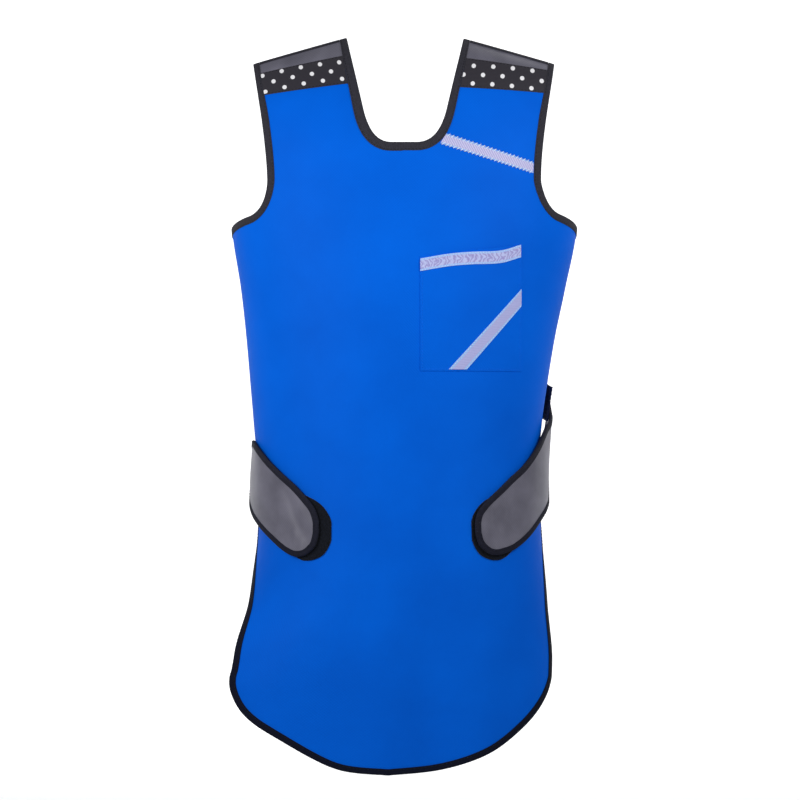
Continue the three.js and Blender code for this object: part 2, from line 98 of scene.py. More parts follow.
def add_node(tree, kind, inputs, **settings):
    node = tree.nodes.new("ShaderNode" + kind)
    for key, value in settings.items():
        setattr(node, key, value)
    feed(node, inputs)
    return node


def new_material(name, **constants):
    material = bpy.data.materials.new(name)
    material.use_nodes = True
    shader = material.node_tree.nodes["Principled BSDF"]
    for socket, value in constants.items():
        shader.inputs[socket.replace("_", " ")].default_value = value
    return material, material.node_tree, shader


print("royal blue is", [round(c, 3) for c in linear("#0062DC")])

# %% [markdown]
# ## The studio
#
# A product picture of this kind has a pale sweep behind the object and broad soft light. The sweep is
# one grid: it lies flat where a wearer's feet would stand, bends up far behind, and ends as a wall.
# Its far end glows, as backlit paper does, so that it comes out near white.

# %% Build the sweep
FLOOR = -1.4
SWEEP_WIDTH = 16.0
SWEEP_FRONT = -7.0
BEND_START = 4.6
BEND_RADIUS = 1.2
WALL_HEIGHT = 3.0
GLOW_START, PAPER_GLOW = 1.0, 0.85

paper, tree, shader = new_material("Matt white studio paper", Roughness=0.9)
spot = add_node(tree, "TexCoord", {}).outputs["Object"]
depth = add_node(tree, "SeparateXYZ", {0: spot}).outputs["Y"]
glow = add_node(
    tree, "MapRange",
    {"Value": depth, "From Min": GLOW_START, "From Max": BEND_START, "To Min": 0.0, "To Max": PAPER_GLOW},
)
feed(shader, {"Base Color": linear("#F4F5F6")})
feed(shader, {"Emission Color": linear("#FFFFFF"), "Emission Strength": glow})

floor_mesh = bmesh.new()
bmesh.ops.create_grid(floor_mesh, x_segments=8, y_segments=96, size=0.5)
flat_length = BEND_START - SWEEP_FRONT
bend_length = BEND_RADIUS * math.pi / 2
for vert in floor_mesh.verts:
    along = (vert.co.y + 0.5) * (flat_length + bend_length + WALL_HEIGHT)
    turn = min(max(along - flat_length, 0) / BEND_RADIUS, math.pi / 2)
    rise = max(along - flat_length - bend_length, 0)
    y = SWEEP_FRONT + min(along, flat_length) + BEND_RADIUS * math.sin(turn)
    z = FLOOR + BEND_RADIUS * (1 - math.cos(turn)) + rise
    vert.co = (vert.co.x * SWEEP_WIDTH, y, z)
sweep = bpy.data.objects.new("studio_sweep", bpy.data.meshes.new("studio_sweep"))
floor_mesh.to_mesh(sweep.data)
floor_mesh.free()
sweep.data.shade_smooth()
sweep.data.materials.append(paper)
scene.collection.objects.link(sweep)
print("sweep: floor at", FLOOR, "m, wall from", BEND_START, "m behind")

# %% [markdown]
# ## The light
#
# The cover is bright from side to side on the chest and darkens toward the hem, most of all on the right.
# So two soft panels stand close in front at chest height, one on either side, and the right one stands
# higher. They are close, so their light falls off over the length of the apron. A third one from behind
# parts the edges from the wall, and the pale surroundings fill the rest.

# %% Hang the lights
LIGHTS = (
    # name, place, target, size in metres, watts
    ("left_light", (-0.8, -0.8, -0.15), (0, -0.1, -0.25), 0.5, 6.2),
    ("right_light", (0.75, -0.8, 0.1), (-0.05, -0.1, -0.15), 0.5, 5.8),
    ("back_light", (0.9, 2.2, 1.5), (0, 0, -0.2), 1.2, 22),
)
ROOM_LIGHT = 0.275

for name, place_at, target, size, watts in LIGHTS:
    lamp = bpy.data.lights.new(name, "AREA")
    lamp.size = size
    lamp.energy = watts
    light = bpy.data.objects.new(name, lamp)
    light.location = place_at
    light.rotation_euler = (Vector(target) - Vector(place_at)).to_track_quat("-Z", "Y").to_euler()
    light.visible_camera = False
    scene.collection.objects.link(light)

world = bpy.data.worlds.new("pale_room")
world.use_nodes = True
feed(world.node_tree.nodes["Background"], {"Color": linear("#F3F5F8"), "Strength": ROOM_LIGHT})
scene.world = world
print("lights:", [row[0] for row in LIGHTS])

# %% [markdown]
# ## The worn form
#
# Each piece of the apron lies on the shape of the wearer, so that shape comes first. It is a stack of
# level oval sections, as a tailor's dummy is drawn. A place on it has two numbers, the degrees round
# from the middle of the front and the height, and a piece is set off from it along the outward normal.
# The same short tables, in millimetres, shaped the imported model, so the cloth lies where that says.

# %% Tables of the form
MM = 0.001
SHOULDER = 138
HEM_BOTTOM = -936


def chart(names, *rows):
    return dict(zip(names.split(), np.array(rows, float).T))


SECTIONS = chart(
    "height centre left right front back fall wrap_left wrap_right",
    (-960, -22, 286, 229, 137, 128, 0, 48, 72),
    (-835, -18.8, 276.5, 220, 135, 126, 0, 48, 72),
    (-790, -14.2, 254, 214, 134, 124, 0, 53, 73.5),
    (-725, -8.3, 206.5, 198, 133, 120, 0, 68, 78),
    (-655, -6.5, 185, 187, 131, 116, 0, 88, 89),
    (-550, -8, 183.5, 184, 127, 112, 0, 108, 108),
    (-487, -8.3, 188, 189, 128.5, 112, 0, 110, 110),
    (-440, -6.3, 194, 193.5, 130, 113, 0, 110, 110),
    (-377, -4.3, 201.5, 202, 131, 115, 0, 108, 108),
    (-315, -1.7, 211, 212.5, 131, 116, 0, 104, 104),
    (-235, 0, 224.5, 226, 127, 113, 0, 98, 98),
    (-135, 0, 226, 226, 112, 100, 0, 98, 98),
    (-95, 0, 226, 226, 99, 88, 0.04, 98, 98),
    (-56, 0, 226, 226, 78, 68, 0.12, 98, 98),
    (-24, 0, 225.5, 225.5, 50, 42, 0.2, 98, 98),
    (0, 0, 225, 225, 8, 8, 0.3, 98, 98),
    (8, 0, 225, 225, -8, -8, 0.33, 98, 98),
)

FOLDS = chart(
    "angle top swell spread",
    (-34, -620, 3, 8),
    (-14, -640, -3, 8),
    (12, -640, -4, 8),
    (32, -600, 4, 10),
)
print("form:", len(SECTIONS["height"]), "sections,", len(FOLDS["angle"]), "folds")

# %% [markdown]
# A table has few rows, so a smooth curve is drawn through each column. Its slope at a row is that of
# the line between the rows on either side, which keeps the curve calm. Normals come from two small
# steps on the surface, one round and one up.

# %% Read the tables and place things on the form
def read(table, name, at):
    x, y = next(iter(table.values())), table[name]
    rows = np.arange(len(x))
    before, after = np.maximum(rows - 1, 0), np.minimum(rows + 1, rows[-1])
    slope = (y[after] - y[before]) / (x[after] - x[before])
    i = np.clip(np.searchsorted(x, at, side="right") - 1, 0, rows[-1] - 1)
    span = x[i + 1] - x[i]
    t = np.clip((at - x[i]) / span, 0, 1)
    rise = span * (t * (1 - t) ** 2 * slope[i] - t**2 * (1 - t) * slope[i + 1])
    return y[i] + (y[i + 1] - y[i]) * t * t * (3 - 2 * t) + rise


def ripple(angle, height):
    push = 0.0
    for fold_angle, top, swell, spread in zip(*FOLDS.values()):
        down = np.clip((top - height) / (top - HEM_BOTTOM), 0, 1)
        bump = np.exp(-(((angle - fold_angle) / spread) ** 2))
        push = push + swell * down * down * (3 - 2 * down) * bump
    return push


def skin(angle, height):
    turn = np.radians(angle)
    push = ripple(angle, height)
    half = np.where(np.sin(turn) < 0, read(SECTIONS, "left", height), read(SECTIONS, "right", height))
    depth = np.where(np.cos(turn) > 0, read(SECTIONS, "front", height), read(SECTIONS, "back", height))
    x = read(SECTIONS, "centre", height) + (half + push) * np.sin(turn)
    y = -(depth + push) * np.cos(turn)
    z = height - read(SECTIONS, "fall", height) * (np.abs(x) - SHOULDER)
    return np.stack([x, y, z], axis=-1)


def unit(vectors):
    return vectors / np.linalg.norm(vectors, axis=-1, keepdims=True)


def directions(angle, height):
    step = 0.05
    around = (skin(angle + step, height) - skin(angle - step, height)) / (2 * step)
    up = (skin(angle, height + step) - skin(angle, height - step)) / (2 * step)
    return around, up, unit(np.cross(around, up))


def place(angle, height, lift=0.0):
    out = directions(angle, height)[2]
    return (skin(angle, height) + out * np.asarray(lift)[..., None]) * MM


def angle_across(across, height):
    offset = across - read(SECTIONS, "centre", height)
    half = np.where(offset < 0, read(SECTIONS, "left", height), read(SECTIONS, "right", height))
    return np.degrees(np.arcsin(offset / half))


print("waist, front:", place(np.array(0.0), np.array(-550.0)))

# %% [markdown]
# Woven threads run straight along a cloth, so a weave needs the cloth's own flat coordinates. They go
# in a UV map called "cloth", in metres: across is the way round a middle section, and along is the height.

# %% Flat coordinates of the cloth
ROUND_ANGLES = np.linspace(-280, 280, 1121)
HALF_WIDTH, HALF_DEPTH = 205, 128
CLOTH_FOOT = -1000
ROUND_SPEED = np.hypot(
    HALF_WIDTH * np.cos(np.radians(ROUND_ANGLES)), HALF_DEPTH * np.sin(np.radians(ROUND_ANGLES))
)
ROUND_LENGTH = np.cumsum(ROUND_SPEED) * np.radians(ROUND_ANGLES[1] - ROUND_ANGLES[0])


def cloth_map(angle, height):
    across = np.interp(angle, ROUND_ANGLES, ROUND_LENGTH)
    along = np.broadcast_to(height, across.shape) - CLOTH_FOOT
    return np.stack([across, along], axis=-1) * MM


def worn(angle, height, lift=0.0):
    return place(angle, height, lift), cloth_map(angle, height)


quarter = np.diff(np.interp((0, 90), ROUND_ANGLES, ROUND_LENGTH))
print("a quarter round:", round(float(quarter[0])), "mm")

# %% [markdown]
# ## From a flat grid to a worn piece
#
# Every sheet starts as Blender's own flat grid, as a cutter starts from flat cloth. Its vertices are
# then carried to the form, and a Solidify modifier gives the cloth its thickness to both sides. A narrow
# bevel softens the edges that show.

# %% Grid and piece helpers
def new_cloth():
    bm = bmesh.new()
    bm.loops.layers.uv.new("cloth")
    return bm


def bend_grid(bm, columns, rows, shape):
    verts = bmesh.ops.create_grid(bm, x_segments=columns, y_segments=rows, size=0.5)["verts"]
    flat = np.array([vert.co[:2] for vert in verts]) + 0.5
    points, cloth = shape(flat[:, 0], flat[:, 1])
    layer = bm.loops.layers.uv["cloth"]
    for vert, point, weave in zip(verts, points, cloth):
        vert.co = point
        for loop in vert.link_loops:
            loop[layer].uv = weave


def new_piece(bm, name, node, material, thickness, edge=0.0):
    mesh = bpy.data.meshes.new(name)
    bm.to_mesh(mesh)
    bm.free()
    mesh.shade_smooth()
    mesh.materials.append(material)
    piece = bpy.data.objects.new(name, mesh)
    scene.collection.objects.link(piece)
    if thickness:
        wall = piece.modifiers.new("wall", "SOLIDIFY")
        wall.thickness = thickness * MM
        wall.offset = 0
        wall.use_quality_normals = True
    if edge:
        soft = piece.modifiers.new("soft_edge", "BEVEL")
        soft.width = edge * MM
        soft.segments = 2
        soft.profile = 0.5
        soft.limit_method = "ANGLE"
        soft.angle_limit = math.radians(50)
        soft.harden_normals = True
    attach(piece, "root")
    if node:
        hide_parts(node)
    print("piece", name, len(mesh.polygons), "faces")
    return piece


def cut_cloth(name, node, material, thickness, grid, shape, edge=0.0):
    bm = new_cloth()
    bend_grid(bm, *grid, shape)
    return new_piece(bm, name, node, material, thickness, edge)


print("helpers for grids and pieces are ready")

# %% [markdown]
# ## Coated nylon
#
# The cover is a tightly woven nylon with a wipe-clean coating: even, saturated and almost matt, with a
# faint thread grid and slow patches of painted shade that stand for the sheet inside not being quite
# flat. The weave could be real threads, but it is finer than a pixel, so a product of two sine waves in
# the cloth map stands for warp and weft. The true threads are about 0.4 mm apart. They are drawn 1.8 mm
# apart so that they show. The patches of painted shade are about a hand wide on the stiff panel and half
# as wide on the grey cloth, which has a soft gloss.

# %% Coated nylon, blue and grey
THREAD_MM = 1.8
WEAVE_DEPTH = 0.06
WAVES_PER_M, WAVE_DEPTH = 16.0, 1.6


def waves(tree, cloth, radians_per_m):
    turns = add_node(tree, "VectorMath", {0: cloth, 1: radians_per_m}, operation="MULTIPLY")
    sines = add_node(tree, "VectorMath", {0: turns}, operation="SINE")
    return add_node(tree, "SeparateXYZ", {0: sines}).outputs


def coated_nylon(name, dark, light, contrast, shade_patch_mm, **constants):
    material, tree, shader = new_material(name, **constants)
    cloth = add_node(tree, "UVMap", {}, uv_map="cloth")
    wave = waves(tree, cloth, (math.pi / (THREAD_MM * MM),) * 3)
    weave = add_node(tree, "Math", {0: wave["X"], 1: wave["Y"]}, operation="MULTIPLY")
    # Painted shade: slow noise patches darken and lighten the cloth as an uneven sheet would be shaded
    painted_shade_patches = add_node(tree, "TexNoise", {"Vector": cloth, "Scale": 1000 / shade_patch_mm, "Detail": 4.0})
    tone = add_node(tree, "Math", {0: weave, 1: contrast, 2: painted_shade_patches}, operation="MULTIPLY_ADD")
    colour = add_node(tree, "MixRGB", {"Fac": tone, "Color1": linear(dark), "Color2": linear(light)})
    uneven = add_node(tree, "TexNoise", {"Vector": cloth, "Scale": WAVES_PER_M, "Detail": 2.0})
    soft = add_node(tree, "Bump", {"Height": uneven, "Distance": WAVE_DEPTH * MM, "Strength": 0.5})
    weave_bump = {"Height": weave, "Distance": WEAVE_DEPTH * MM, "Strength": 0.6, "Normal": soft}
    feed(shader, {"Base Color": colour, "Normal": add_node(tree, "Bump", weave_bump)})
    return material


blue_nylon = coated_nylon(
    "Coated nylon, royal blue", "#005AD2", "#006EF2", contrast=0.1, shade_patch_mm=111,
    Roughness=0.6, Specular_IOR_Level=0.04,
)
grey_nylon = coated_nylon(
    "Coated nylon, satin grey", "#4C4B57", "#888695", contrast=0.07, shade_patch_mm=46,
    Roughness=0.4, Specular_IOR_Level=0.28, Sheen_Weight=0.02, Sheen_Roughness=0.4,
)
print("materials:", blue_nylon.name, "and", grey_nylon.name)

# %% [markdown]
# ## Binding tape
#
# The edges are bound in a charcoal grosgrain tape. Its cross ribs are what the eye catches, so a sine
# along the tape gives ribs in bump and tone, and a fine noise breaks them up. The ribs are really about
# 0.6 mm apart and are drawn 2 mm apart so that they show. The tape is drawn darker towards the bottom:
# nearly black at the hem and the belt and charcoal above the chest, so a second pair of shades comes in
# with height. The same finish with a fine lengthwise cord serves the webbing of the elastic and the back
# straps.

# %% Ribbed tapes and webbing
# Heights in metres between which the tape goes from its darker lower shades to its charcoal upper ones
DARKER_BELOW, LIGHTER_ABOVE = -0.8, -0.24
CORD_SHARE, RIB_TONE = 0.35, 0.16
FUZZ_PER_M = 260.0


def ribbed_tape(name, shades, rib_mm, cord_mm, depth_mm, upper_shades=None, **constants):
    material, tree, shader = new_material(name, **constants)
    cloth = add_node(tree, "UVMap", {}, uv_map="cloth")
    wave = waves(tree, cloth, (2 * math.pi / (rib_mm * MM), 2 * math.pi / (cord_mm * MM), 0))
    ribs = add_node(tree, "Math", {0: wave["Y"], 1: CORD_SHARE, 2: wave["X"]}, operation="MULTIPLY_ADD")
    fuzz = add_node(tree, "TexNoise", {"Vector": cloth, "Scale": FUZZ_PER_M, "Detail": 3.0})
    tone = add_node(tree, "Math", {0: ribs, 1: RIB_TONE, 2: fuzz}, operation="MULTIPLY_ADD")

    def dyed(dark, light):
        return add_node(tree, "MixRGB", {"Fac": tone, "Color1": linear(dark), "Color2": linear(light)})

    colour = dyed(*shades)
    # Darker towards the bottom: the upper pair of shades takes over from the lower pair with height
    if upper_shades:
        spot = add_node(tree, "TexCoord", {}).outputs["Object"]
        height = add_node(tree, "SeparateXYZ", {0: spot}).outputs["Z"]
        height_mix = add_node(tree, "MapRange", {"Value": height, "From Min": DARKER_BELOW, "From Max": LIGHTER_ABOVE})
        colour = add_node(tree, "MixRGB", {"Fac": height_mix, "Color1": colour, "Color2": dyed(*upper_shades)})
    bump = add_node(tree, "Bump", {"Height": ribs, "Distance": depth_mm * MM, "Strength": 0.8})
    feed(shader, {"Base Color": colour, "Normal": bump})
    return material


black_tape = ribbed_tape(
    "Grosgrain tape, charcoal", ("#03071A", "#0E132A"), rib_mm=2.0, cord_mm=2.6, depth_mm=0.14,
    upper_shades=("#28272D", "#3D3C46"),
    Roughness=0.78, Specular_IOR_Level=0.14, Sheen_Weight=0.03, Sheen_Roughness=0.5,
)
dark_webbing = ribbed_tape(
    "Elastic webbing, navy black", ("#040920", "#0E1A50"), rib_mm=2.4, cord_mm=3.4, depth_mm=0.25,
    Roughness=0.85, Specular_IOR_Level=0.3, Sheen_Weight=0.12, Sheen_Roughness=0.5,
)
print("materials:", black_tape.name, "and", dark_webbing.name)

# %% [markdown]
# ## Dotted ribbon
#
# The band on each shoulder is a black satin ribbon with round white dots in staggered rows. The dots
# are the distance to the nearest point of two lattices, one set half a step off the other. The cross
# threads of satin are about 0.3 mm apart and are drawn 1.6 mm apart so that they show.

# %% Dotted ribbon
DOT_STEP = (25, 22)
DOT_WIDTH, DOT_BLUR = 5.5, 0.25
PICK_MM = 1.6

dotted_ribbon, tree, shader = new_material(
    "Satin ribbon, black with white dots", Roughness=0.5, Specular_IOR_Level=0.35, Sheen_Weight=0.08
)
cloth = add_node(tree, "UVMap", {}, uv_map="cloth")
per_step = (1 / (DOT_STEP[0] * MM), 1 / (DOT_STEP[1] * MM), 0)
distances = []
for offset in ((0.5, 0.5, 0), (0, 0, 0)):
    steps = add_node(tree, "VectorMath", {0: cloth, 1: per_step, 2: offset}, operation="MULTIPLY_ADD")
    cell = add_node(tree, "VectorMath", {0: steps}, operation="FRACTION")
    centred = add_node(tree, "VectorMath", {0: cell, 1: (0.5, 0.5, 0)}, operation="SUBTRACT")
    real = add_node(tree, "VectorMath", {0: centred, 1: (*DOT_STEP, 0)}, operation="MULTIPLY")
    distances.append(add_node(tree, "VectorMath", {0: real}, operation="LENGTH").outputs["Value"])
nearest = add_node(tree, "Math", {0: distances[0], 1: distances[1]}, operation="MINIMUM")
rim = {"From Min": DOT_WIDTH / 2 + DOT_BLUR, "From Max": DOT_WIDTH / 2 - DOT_BLUR}
dot = add_node(tree, "MapRange", {"Value": nearest, **rim})
pick = waves(tree, cloth, (0, 2 * math.pi / (PICK_MM * MM), 0))["Y"]
shade = add_node(tree, "Math", {0: pick, 1: 0.3, 2: 0.5}, operation="MULTIPLY_ADD")
ground = add_node(tree, "MixRGB", {"Fac": shade, "Color1": linear("#221F26"), "Color2": linear("#36333D")})
colour = add_node(tree, "MixRGB", {"Fac": dot, "Color1": ground, "Color2": linear("#FCFBFE")})
raised = add_node(tree, "Math", {0: dot, 1: 0.8, 2: shade}, operation="MULTIPLY_ADD")
bump = add_node(tree, "Bump", {"Height": raised, "Distance": 0.15 * MM, "Strength": 0.7})
feed(shader, {"Base Color": colour, "Normal": bump})
print("material:", dotted_ribbon.name)

# %% [markdown]
# ## Woven ribbons
#
# The lavender ribbons are woven in two shades, with a bluish border along both edges. On two of them the
# figure is a twill of slanting lines. On the pocket mouth the lines turn back at the middle, which a
# negative lean stands for, and a noise makes them wander, as in a mottled jacquard. The lines are drawn 3
# to 6 mm apart, coarser than real ones, so that they show.

# %% Woven ribbons
RIBBON_WIDTH, SLANT_WIDTH = 16, 17.3
BORDER_BLUR = 0.4
DRIFT_PER_M = 150.0


def woven_ribbon(name, ground, figure, border, width, border_mm, lean, line_mm, contrast, wander_mm):
    material, tree, shader = new_material(
        name, Roughness=0.55, Specular_IOR_Level=0.35, Sheen_Weight=0.1, Sheen_Roughness=0.4
    )
    cloth = add_node(tree, "UVMap", {}, uv_map="cloth")
    flat = add_node(tree, "SeparateXYZ", {0: cloth}).outputs
    off_middle = add_node(tree, "Math", {0: flat["Y"]}, operation="ABSOLUTE")
    side = flat["Y"] if lean > 0 else off_middle
    slanted = add_node(tree, "Math", {0: side, 1: abs(lean), 2: flat["X"]}, operation="MULTIPLY_ADD")
    drift = add_node(tree, "TexNoise", {"Vector": cloth, "Scale": DRIFT_PER_M, "Detail": 1.0})
    wandering = add_node(tree, "Math", {0: drift, 1: wander_mm * MM, 2: slanted}, operation="MULTIPLY_ADD")
    turns = add_node(tree, "Math", {0: wandering, 1: 2 * math.pi / (line_mm * MM)}, operation="MULTIPLY")
    lines = add_node(tree, "Math", {0: turns}, operation="SINE")
    mask = add_node(tree, "Math", {0: lines, 1: contrast, 2: 0.5}, operation="MULTIPLY_ADD")
    body = add_node(tree, "MixRGB", {"Fac": mask, "Color1": linear(figure), "Color2": linear(ground)})
    start, end = [(width / 2 - border_mm + blur) * MM for blur in (-BORDER_BLUR, BORDER_BLUR)]
    edge = add_node(tree, "MapRange", {"Value": off_middle, "From Min": start, "From Max": end})
    colour = add_node(tree, "MixRGB", {"Fac": edge, "Color1": body, "Color2": linear(border)})
    bump = add_node(tree, "Bump", {"Height": lines, "Distance": 0.08 * MM, "Strength": 0.8})
    feed(shader, {"Base Color": colour, "Normal": bump})
    return material


twill_ribbon = woven_ribbon(
    "Twill ribbon, lavender", "#D4D2F4", "#AEABDE", "#8FB2F0", RIBBON_WIDTH,
    border_mm=3.0, lean=1.0, line_mm=3.6, contrast=0.5, wander_mm=1.2,
)
lined_ribbon = woven_ribbon(
    "Lined twill ribbon, mauve", "#C0C2F2", "#ADB0E6", "#A2C8FE", SLANT_WIDTH,
    border_mm=3.2, lean=1.0, line_mm=3.0, contrast=0.24, wander_mm=0.6,
)
zigzag_ribbon = woven_ribbon(
    "Zigzag woven ribbon, lavender", "#C6CFFA", "#9C94D0", "#A6C6FC", RIBBON_WIDTH,
    border_mm=2.6, lean=-0.6, line_mm=5.6, contrast=0.44, wander_mm=15.0,
)
print("materials:", twill_ribbon.name, "and", lined_ribbon.name, "and", zigzag_ribbon.name)

# %% [markdown]
# ## Loop pile
#
# The patch under a belt tip is a short loop pile, nearly black, which scatters light in every direction.
# Voronoi cells about 2 mm wide stand for its tufts.

# %% Loop pile
TUFTS_PER_M = 520.0

loop_pile, tree, shader = new_material(
    "Loop pile, black", Roughness=0.95, Specular_IOR_Level=0.15, Sheen_Weight=0.15
)
spot = add_node(tree, "TexCoord", {}).outputs["Object"]
tufts = add_node(tree, "TexVoronoi", {"Vector": spot, "Scale": TUFTS_PER_M})
colour = add_node(tree, "MixRGB", {"Fac": tufts, "Color1": linear("#141824"), "Color2": linear("#03060C")})
bump = add_node(tree, "Bump", {"Height": tufts, "Distance": 0.6 * MM, "Strength": 0.9})
feed(shader, {"Base Color": colour, "Normal": bump})
print("material:", loop_pile.name)

# %% [markdown]
# ## Sewing thread
#
# Polyester thread is nearly matt. It is spun, so a fine noise speckles it between two shades. The colours
# follow the cloth that is sewn. The blue thread is a little lighter than the blue cloth, partly its own
# colour and partly a painted highlight along the lit edge of the pocket.

# %% Thread
SPIN_PER_M = 900.0


def sewing_thread(name, dark, light):
    material, tree, shader = new_material(name, Roughness=0.7, Specular_IOR_Level=0.12)
    spot = add_node(tree, "TexCoord", {}).outputs["Object"]
    spin = add_node(tree, "TexNoise", {"Vector": spot, "Scale": SPIN_PER_M, "Detail": 2.0})
    colour = add_node(tree, "MixRGB", {"Fac": spin, "Color1": linear(dark), "Color2": linear(light)})
    feed(shader, {"Base Color": colour})
    return material


charcoal_thread = sewing_thread("Polyester thread, charcoal", "#15151B", "#292831")
# Lighter than the blue cloth: partly thread colour, partly a painted highlight on the pocket's edge
blue_thread = sewing_thread("Polyester thread, royal blue", "#0560DE", "#1878FC")
pale_thread = sewing_thread("Polyester thread, pale blue", "#C2DCFF", "#F0F6FF")
print("threads:", charcoal_thread.name, blue_thread.name, pale_thread.name)

# %% [markdown]
# ## The edges of the panel
#
# The panel is cut with a round hem, straight sides that wrap the hips, armholes, and a scooped neck. Each
# edge is a line or a simple curve in degrees and height. One half is drawn as on the right, and the left
# half is its mirror with a hem corner, an armhole and a neck of its own.

# %% Tables of the edges
SEAM, CREST = -43, -6
STRAP_FOOT, SHELF, UNDERARM = -180, -223, -243
TURN = 6 / 11
SIDES = {"left": -1, "right": 1}
HEM_POWER = {"left": 1.6, "right": 2.0}
HEM = {
    "left": chart(
        "turn height",
        (0, HEM_BOTTOM), (0.2, -932), (0.3, -923), (0.5, -891), (0.7, -861), (0.9, -822), (1, -811),
    ),
    "right": chart(
        "turn height",
        (0, HEM_BOTTOM), (0.2, -930), (0.4, -911), (0.6, -881), (0.9, -831), (1, -817),
    ),
}
ARMHOLE = {
    "left": {"turn_height": -225, "pull": (51.5, -221)},
    "right": {"turn_height": -221.5, "pull": (53, -216)},
}
ARM_STRAP_ANGLE, ARM_CREST_ANGLE, ARM_BEND = 50.5, 60.6, 1.5
ARM_CURVE_SHARE = 6 / 11
NECK_BOTTOM, NECK_FLAT, NECK_SIDE_HEIGHT = -133, 16, -88
NECK = {
    "left": {"pull": 43.5, "side": 54.2, "crest": 75.6},
    "right": {"pull": 46, "side": 57, "crest": 79},
}
NECK_SHARES = (4 / 11, 5 / 11, 9 / 11)
print("edges: neck at", NECK_BOTTOM, "mm, hem at", HEM_BOTTOM, "mm")

# %% [markdown]
# A curve is a line that is bent toward one pulling point. Each half of the panel has a lower part, from
# the hem up to the armhole, and an upper part, from there to the shoulder seam between neck and armhole.
# Both take two shares from 0 to 1, one from the middle outward and one upward.

# %% Edge curves
def lerp(a, b, t):
    return a + (b - a) * t


def mirrored(side, u):
    return u if side == "right" else 1 - u


def bent(start, pull, end, t):
    return [lerp(lerp(a, p, t), lerp(p, b, t), t) for a, p, b in zip(start, pull, end)]


def wrap(side, height):
    return read(SECTIONS, "wrap_" + side, np.maximum(height, HEM[side]["height"][-1]))


def arm_edge(height):
    t = np.maximum((height - STRAP_FOOT) / (CREST - STRAP_FOOT), 0)
    return lerp(ARM_STRAP_ANGLE, ARM_CREST_ANGLE, t**ARM_BEND)


def neck_edge(side, height):
    t = (height - NECK_SIDE_HEIGHT) / (CREST - NECK_SIDE_HEIGHT)
    return angle_across(lerp(NECK[side]["side"], NECK[side]["crest"], t), height)


def hem_share(side, u):
    widest = wrap(side, HEM_BOTTOM)
    across = np.sin(u * np.pi / 2) ** (2 / HEM_POWER[side]) * np.sin(np.radians(widest))
    return np.degrees(np.arcsin(np.clip(across, 0, 1))) / widest


def lower_half(side, u, v):
    share, turn_share = hem_share(side, u), hem_share(side, TURN)
    to_turn = np.minimum(share / turn_share, 1)
    past_turn = np.maximum(share - turn_share, 0) / (1 - turn_share)
    shelf = lerp(lerp(SHELF, ARMHOLE[side]["turn_height"], to_turn), UNDERARM, past_turn)
    height = lerp(read(HEM[side], "height", u), shelf, v)
    return share * wrap(side, height), height


def armhole_line(side, v):
    turn_angle, turn_height = lower_half(side, np.array(TURN), np.array(1.0))
    curve = bent(
        (turn_angle, turn_height), ARMHOLE[side]["pull"], (ARM_STRAP_ANGLE, STRAP_FOOT),
        np.minimum(v / ARM_CURVE_SHARE, 1),
    )
    strap = lerp(STRAP_FOOT, SEAM, np.maximum(v - ARM_CURVE_SHARE, 0) / (1 - ARM_CURVE_SHARE))
    on_curve = v < ARM_CURVE_SHARE
    return np.where(on_curve, curve[0], arm_edge(strap)), np.where(on_curve, curve[1], strap)


def neck_line(side, v):
    chest, flat, turned = NECK_SHARES
    flat_angle = angle_across(np.array(NECK_FLAT), np.array(NECK_BOTTOM))
    pull_angle = angle_across(np.array(NECK[side]["pull"]), np.array(NECK_BOTTOM))
    side_angle = neck_edge(side, np.array(NECK_SIDE_HEIGHT))
    curve = bent(
        (flat_angle, NECK_BOTTOM), (pull_angle, NECK_BOTTOM), (side_angle, NECK_SIDE_HEIGHT),
        np.clip((v - flat) / (turned - flat), 0, 1),
    )
    strap = lerp(NECK_SIDE_HEIGHT, SEAM, np.clip((v - turned) / (1 - turned), 0, 1))
    stages = [v < chest, v < flat, v < turned]
    angles = [0 * v, flat_angle * (v - chest) / (flat - chest), curve[0]]
    heights = [lerp(SHELF, NECK_BOTTOM, v / chest), NECK_BOTTOM + 0 * v, curve[1]]
    return np.select(stages, angles, neck_edge(side, strap)), np.select(stages, heights, strap)


def upper_half(side, u, v):
    share = hem_share(side, u * TURN) / hem_share(side, TURN)
    inner, outer = neck_line(side, v), armhole_line(side, v)
    foot = lower_half(side, u * TURN, np.ones_like(u))[0]
    drift = foot - share * armhole_line(side, np.zeros_like(u))[0]
    return lerp(inner[0], outer[0], share) + drift * (1 - v), lerp(inner[1], outer[1], share)


print("armhole foot, right:", [round(float(x), 1) for x in armhole_line("right", np.array(0.0))])

# %% [markdown]
# ## The front panel
#
# The panel is cover cloth, shielding sheet and lining in one, about 3 mm thick. Four grids meet in it,
# two below the armholes and two above. Merging their doubles sews them into one sheet. A grid keeps
# its threads straight, which a filled outline wouldn't.

# %% Cut the panel
PANEL = 3.0
LOWER_COLUMNS, LOWER_ROWS, UPPER_ROWS = 66, 132, 66
SEWN_WITHIN = 0.04


def half_shape(side, half, u, v):
    angle, height = half(side, mirrored(side, u), v)
    return worn(SIDES[side] * angle, height)


panel_bm = new_cloth()
for side in SIDES:
    bend_grid(panel_bm, LOWER_COLUMNS, LOWER_ROWS, partial(half_shape, side, lower_half))
    bend_grid(panel_bm, round(LOWER_COLUMNS * TURN), UPPER_ROWS, partial(half_shape, side, upper_half))
bmesh.ops.remove_doubles(panel_bm, verts=panel_bm.verts, dist=SEWN_WITHIN * MM)
panel = new_piece(panel_bm, "panel_cover", "front_panel", blue_nylon, PANEL)

# %% [markdown]
# ## Stitches
#
# A row of stitches is a small thread lozenge, repeated. Each one is a low sphere, stretched along the
# seam and half sunk in the cloth. All the stitches on one piece are joined in one mesh.

